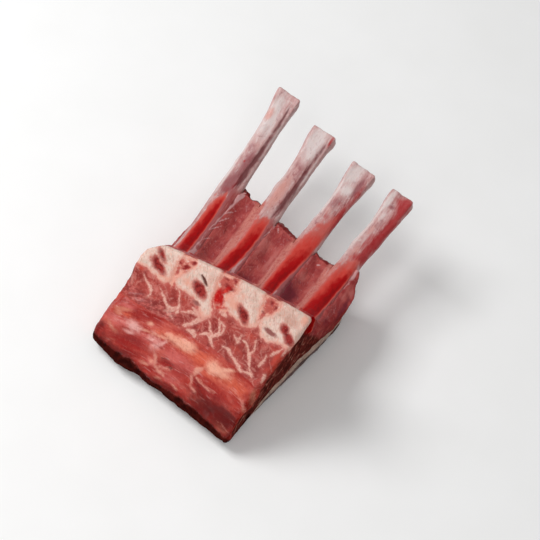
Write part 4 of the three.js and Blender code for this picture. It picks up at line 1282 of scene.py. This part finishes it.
# Tints of the bare bone of each rib: middle (across, Y), half sizes, strength, turn.
RIB_TINTS = {
    "pale": [
        [(-2.4, 70, 3.6, 14, 1), (-5, 40, 1.1, 26, 0.8), (1, 62, 1.6, 9, 0.5), (4.6, 60, 0.9, 20, 0.6)],
        [(-1, 68, 5, 9, 1), (0.4, 60, 2.4, 6, 0.6), (-4.2, 42, 1.4, 20, 0.5), (5, 50, 0.8, 18, 0.6)],
        [(-2.2, 61, 4, 6, 1), (-0.6, 52.5, 3.4, 3.2, 1), (-4.6, 44, 1.1, 16, 0.9), (0.5, 67, 3, 3, 0.6)],
        [(-4.4, 38, 1.2, 18, 0.9), (-3.8, 57, 1.8, 6, 1), (-1.6, 49, 1.6, 4, 0.6), (-1, 34, 1.5, 4, 0.4)],
    ],
    "mauve": [
        [(-1, 28, 4.4, 12, 1), (0.4, 44, 2.6, 9, 0.9), (-5.6, 2, 1.6, 20, 0.5), (-2.6, 52, 1.6, 4, 0.5)],
        [(1, 50, 2, 8, 0.5), (4, 64, 1, 8, 0.4), (-2, 54, 2, 2.4, 0.4), (3.4, 28, 1.6, 6, 0.5)],
        [(-0.5, 46, 3.6, 3.6, 0.5), (-1.6, 43, 2.8, 2.8, 0.5), (3.6, 56, 1.8, 8, 0.9),
         (0, 57.8, 1.4, 1.2, 0.6), (1.4, 40, 2, 2.4, 0.4)],
        [(-0.5, 54.5, 2.6, 1.6, 0.8), (0.2, 44, 2, 6, 0.4), (-0.6, 61.4, 3, 1.2, 0.5)],
    ],
    "peach": [
        [(-3.6, 70, 2.2, 4, 0.9), (0, 54, 3, 4, 0.3)],
        [(-1.4, 36, 3.2, 14, 0.8), (-4, 77, 3, 1, 0.3)],
        [(-1.5, 39, 2.4, 4, 0.4), (0, 70, 3, 1.6, 0.6)],
        [(-1, 27, 2.6, 5, 0.6), (-1.4, 40, 1.6, 5, 0.5)],
    ],
    "red": [
        [(1.6, 30, 1.4, 8, 0.5), (-1.4, 43.6, 0.8, 0.9, 0.7), (-1, 25, 2, 4, 0.4)],
        [(5.4, 70, 0.9, 3.6, 0.8), (2.8, 44, 1, 12, 0.5), (2.4, 33, 1.4, 4, 0.3)],
        [(4.4, 38, 2.4, 12, 0.9), (5.4, 54, 1.6, 9, 0.55), (2, 28, 3, 6, 0.6), (-0.6, 36, 2, 2.4, 0.5),
         (1, 45, 1.4, 1.8, 0.4)],
        [(3.6, 25, 2.8, 8, 1), (4, 36, 3, 8, 1), (4.6, 47, 3, 8, 1), (4.2, 57, 3.6, 6, 1),
         (0.2, 33, 1.8, 8, 0.5), (0, 59, 4, 2.4, 0.5), (0.4, 23, 3.4, 3.4, 0.5)],
    ],
}
GROOVE_ACROSS = [(2.1, 3.5), (3.4, 3.9), (2.8, 3.4), (2.8, 3.2)]  # at the meat and at the tip of each
GROOVE_DEPTH = (1, 0.9, 0.3, 0.2)
SCRAPED_FROM = 16  # the knife scraped the ribs from here on, beyond the edge of the meat
TIP_SLANT = 0.13
TIP_SQUARENESS = 6
# How much fuller each rib is on its right, at these distances from its tip.
FULLER_AT = (0, 6, 14, 26, 40)
FULLER = [
    (-0.3, -0.6, -0.1, 0.4, 0.3), (0, -0.3, 0.7, 1.1, 0.4), (0.2, 0.1, 0.8, 0.3, 0),
    (0, 0.3, 1.2, 1, 0.2),
]


def rib_finish():
    finish = Finish("scraped rib bone")
    lengthwise = finish.stretched(1.2, 12, 3)
    whole = finish.grain(1, 4, lengthwise)
    fibre = finish.stretched(0.7, 5, 2)
    mottle = finish.grain(1, 4, finish.stretched(1.7, 2.8, 2), bend=0.8)
    base = finish.layers(RIB_PINK, [
        (RIB_MAUVE, whole, 0.52, 0.78, 0.4),
        (RIB_PALE, whole, 0.46, 0.24, 0.45),
        (RIB_WHITE, mottle, 0.53, 0.72, 0.45),
        (RIB_MAUVE, mottle, 0.46, 0.28, 0.5),
        (RIB_MAUVE, ("mauve", 1, 0.7, fibre), 0.1, 0.8, 0.85),
        (RIB_PALE, ("pale", 1, 0.7, fibre), 0.1, 0.8, 0.95),
        (RIB_PEACH, ("peach", 1, 0.7, fibre), 0.1, 0.8, 0.85),
        (RIB_MAUVE, finish.grain(0.8, 3, fibre), 0.55, 0.75, 0.35),
        (RIB_MAUVE, mottle, 0.42, 0.26, 0.3),
        (RIB_RED, ("red", 1, 0.7, fibre), 0.1, 0.8, 0.88),
    ])
    base = finish.tint(base, CAGE_ROSE, "in_meat", 0.8)
    flank = finish.step(finish.grain(1, 4, fibre), 0.42, 0.7, 0.7)
    flank = finish.over(CAGE_RED, CAGE_PINK, flank)
    flank = finish.tint(flank, CAGE_PURPLE, "bruise", 0.8)
    base = finish.layers(base, [
        (flank, ("right_side", 1, 0.4, fibre), 0.1, 0.9, 0.9),
        # Dark red and painted shade in the groove.
        (RIB_GROOVE_RED_AND_SHADE, ("groove", 1, 0.9, fibre), 0.1, 0.8, 0.85),
    ])
    base = lining_layers(finish, base)
    core = finish.over(RIB_MARROW, MARROW_DARK, finish.step(finish.cells(0.9), 0.25, 0.5))
    base = finish.over(base, core, finish.stored("tip_core"))
    base = finish.tint(base, CREST_SHADE, "crest_shade", 0.3)
    relief = finish.blend(finish.grain(1, 3, lengthwise), finish.grain(0.4, 3), 0.4)
    return finish.done(base, 0.38, relief, 0.2, glow=0.04)


def half_widths_of(node):
    """Half widths of a rib at the stations of its middle line."""
    points = points_of(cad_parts[node].data)
    stations = np.unique(points[:, 1].round(2))
    return [np.ptp(points[abs(points[:, 1] - y) < 0.02, 0]) / 2 for y in stations]


rib_material = rib_finish()
for i, (node, (line_y, line_x, line_z)) in enumerate(zip(RIB_NODES, rib_lines)):
    mesh = skin_round(node, [node], grow=0.05, grain=RIB_GRAIN)
    rough = points_of(mesh)
    soften(mesh, rounds=5)
    tip_y = line_y[-1]
    sharp = ease_in(rough[:, 1], tip_y - 4, tip_y - 2)[:, None]
    points = points_of(mesh) * (1 - sharp) + rough * sharp
    x, y, z = points.T
    # The shaft is fuller on the right than a plain taper, and the sawn tip slants and is squarer.
    half_widths = np.interp(y, line_y, half_widths_of(node))
    across = x - np.interp(y, line_y, line_x)
    share = np.minimum(np.abs(across) / half_widths, 0.98)
    square = (1 - share ** TIP_SQUARENESS) ** (1 / TIP_SQUARENESS)
    squarer = np.clip(square / (1 - share ** 2) ** 0.5, 1, 1.9) - 1
    squarer *= ease_in(y, tip_y - 18, tip_y - 2)
    z += (z - np.interp(y, line_y, line_z)) * squarer
    before_tip = tip_y - y
    x += np.interp(before_tip, FULLER_AT, FULLER[i]) * ease_in(across, -1, 5)
    y -= TIP_SLANT * (across + 6) * ease_in(before_tip, 8, 0)
    set_points(mesh, points)
    normals = normals_of(mesh)
    _, _, bare, rib_masks = rib_side(points)
    across = x - np.interp(y, line_y, line_x)
    up = z - np.interp(y, line_y, line_z)
    top = ease_in(normals[:, 2], -0.1, 0.5)
    at_tip = ease_in(normals[:, 1], 0.75, 0.95) * ease_in(y, tip_y - 3, tip_y - 1.5)
    meat_ends = on_line(np.mean(line_x), FREE_EDGE_Y)
    tinted = np.maximum(ease_in(y, meat_ends - 14, meat_ends), ease_in(across, -3.5, -4.6))
    shape_along = np.c_[across / 2.4, y / 16, up / 2.4]
    edge_y = meat_ends + SCRAPED_FROM
    groove_line = np.interp(y, (20, 75), GROOVE_ACROSS[i])
    groove_line += 0.35 * lumps(np.c_[0 * y, y, 0 * y], 12, 34 + i)
    groove_width = np.interp(y, (25, 65), (1.7, 0.95)) * (1 + 0.25 * lumps(points, 5, 38 + i))
    groove = np.exp(-(((across - groove_line) / groove_width) ** 2)) * top
    groove *= ease_in(y, edge_y - 26, edge_y - 6) * ease_in(y, tip_y - 1, tip_y - 9)
    groove *= GROOVE_DEPTH[i] * np.interp(y, (46, 60), (1, 0.64))
    height = 0.28 * lumps(shape_along, 1, 40 + i) + 0.2 * lumps(points, 9, 50 + i)
    height += 0.07 * lumps(points, 2, 60 + i)
    height -= 0.45 * groove
    height += 0.5 * np.exp(-(((y - edge_y) / 3) ** 2)) * ease_in(-across, 1.5, 4.5)
    height -= at_tip * (0.1 + 0.15 * lumps(points, 1.1, 70 + i))
    set_points(mesh, points + normals * height[:, None])
    for name, spots in RIB_TINTS.items():
        keep_on(mesh, {name: washes(np.c_[across, y], spots[i]) * tinted})
    rib_masks["blood"] *= top
    keep_on(mesh, {
        "in_meat": (1 - bare) * ease_in(normals[:, 2], 0.3, -0.2),
        "groove": groove,
        "tip_core": at_tip * ease_in(np.hypot(across / 5.6, up / 2.4), 1, 0.8),
        "crest_shade": ease_in(face_place(points)[:, 2], -11, -5),
        **rib_masks,
    })
    mesh.shade_smooth()
    mesh.materials.clear()
    mesh.materials.append(rib_material)
    rib = shown(f"rib_bone_{i + 1}", mesh)
    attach(rib, BODY)
    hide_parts(node)

# ---- Table, light and camera ----
# A plain pale table under soft studio light from the upper left, seen from above the saw face. Its
# top lies a hair below the joint, so that the two don't touch.

TABLE_SIDE = 6  # metres
TABLE_WHITE = (250, 250, 250)
TABLE_GREY = (244, 244, 243)
TABLE_BELOW = 0.3


def table_finish():
    finish = Finish("pale table")
    base = finish.over(TABLE_WHITE, TABLE_GREY, finish.grain(40, 2))
    return finish.done(base, 0.7, finish.grain(2, 2), 0.02, wet=0, glow=0)


shape = bmesh.new()
bmesh.ops.create_grid(shape, x_segments=8, y_segments=8, size=TABLE_SIDE / 2)
table = shown("table", mesh_of("table", shape))
table.data.materials.append(table_finish())
table.location.z = -TABLE_BELOW * MM

LIT_SPOT = Vector((0, -0.02, 0.02))


def soft_light(name, place, side, power):
    """A square light of so many watts, turned to the joint. Place and side are in metres."""
    lamp = bpy.data.lights.new(name, "AREA")
    lamp.shape = "SQUARE"
    lamp.size = side
    lamp.energy = power
    light = bpy.data.objects.new(name, lamp)
    bpy.context.collection.objects.link(light)
    light.location = place
    light.rotation_euler = (LIT_SPOT - Vector(place)).to_track_quat("-Z", "Y").to_euler()


soft_light("key", (-0.72, -0.08, 0.82), 0.5, 8)
soft_light("front fill", (0.15, -0.9, 0.9), 0.8, 4)

world = bpy.data.worlds.new("studio")
world.use_nodes = True
world.node_tree.nodes["Background"].inputs["Color"].default_value = (1, 1, 1, 1)
world.node_tree.nodes["Background"].inputs["Strength"].default_value = 0.34
bpy.context.scene.world = world
bpy.context.scene.view_settings.view_transform = "Standard"

CAMERA_AZIMUTH = math.radians(15)
CAMERA_ELEVATION = math.radians(54)
CAMERA_ROLL = math.radians(16.27)
CAMERA_DISTANCE = 0.85  # metres
CAMERA_TARGET = Vector((0.0095, -0.0131, 0.0442))

back = Vector((
    math.sin(CAMERA_AZIMUTH) * math.cos(CAMERA_ELEVATION),
    -math.cos(CAMERA_AZIMUTH) * math.cos(CAMERA_ELEVATION),
    math.sin(CAMERA_ELEVATION),
))
level = Vector((math.cos(CAMERA_AZIMUTH), math.sin(CAMERA_AZIMUTH), 0))
right = level * math.cos(CAMERA_ROLL) + back.cross(level) * math.sin(CAMERA_ROLL)
lens = bpy.data.cameras.new("camera")
lens.sensor_width = 36
lens.lens = 122
lens.clip_start, lens.clip_end = 0.01, 20
camera = bpy.data.objects.new("camera", lens)
bpy.context.collection.objects.link(camera)
turn = Matrix((right, back.cross(right), back)).transposed()
camera.matrix_world = Matrix.Translation(CAMERA_TARGET + back * CAMERA_DISTANCE) @ turn.to_4x4()
bpy.context.scene.camera = camera
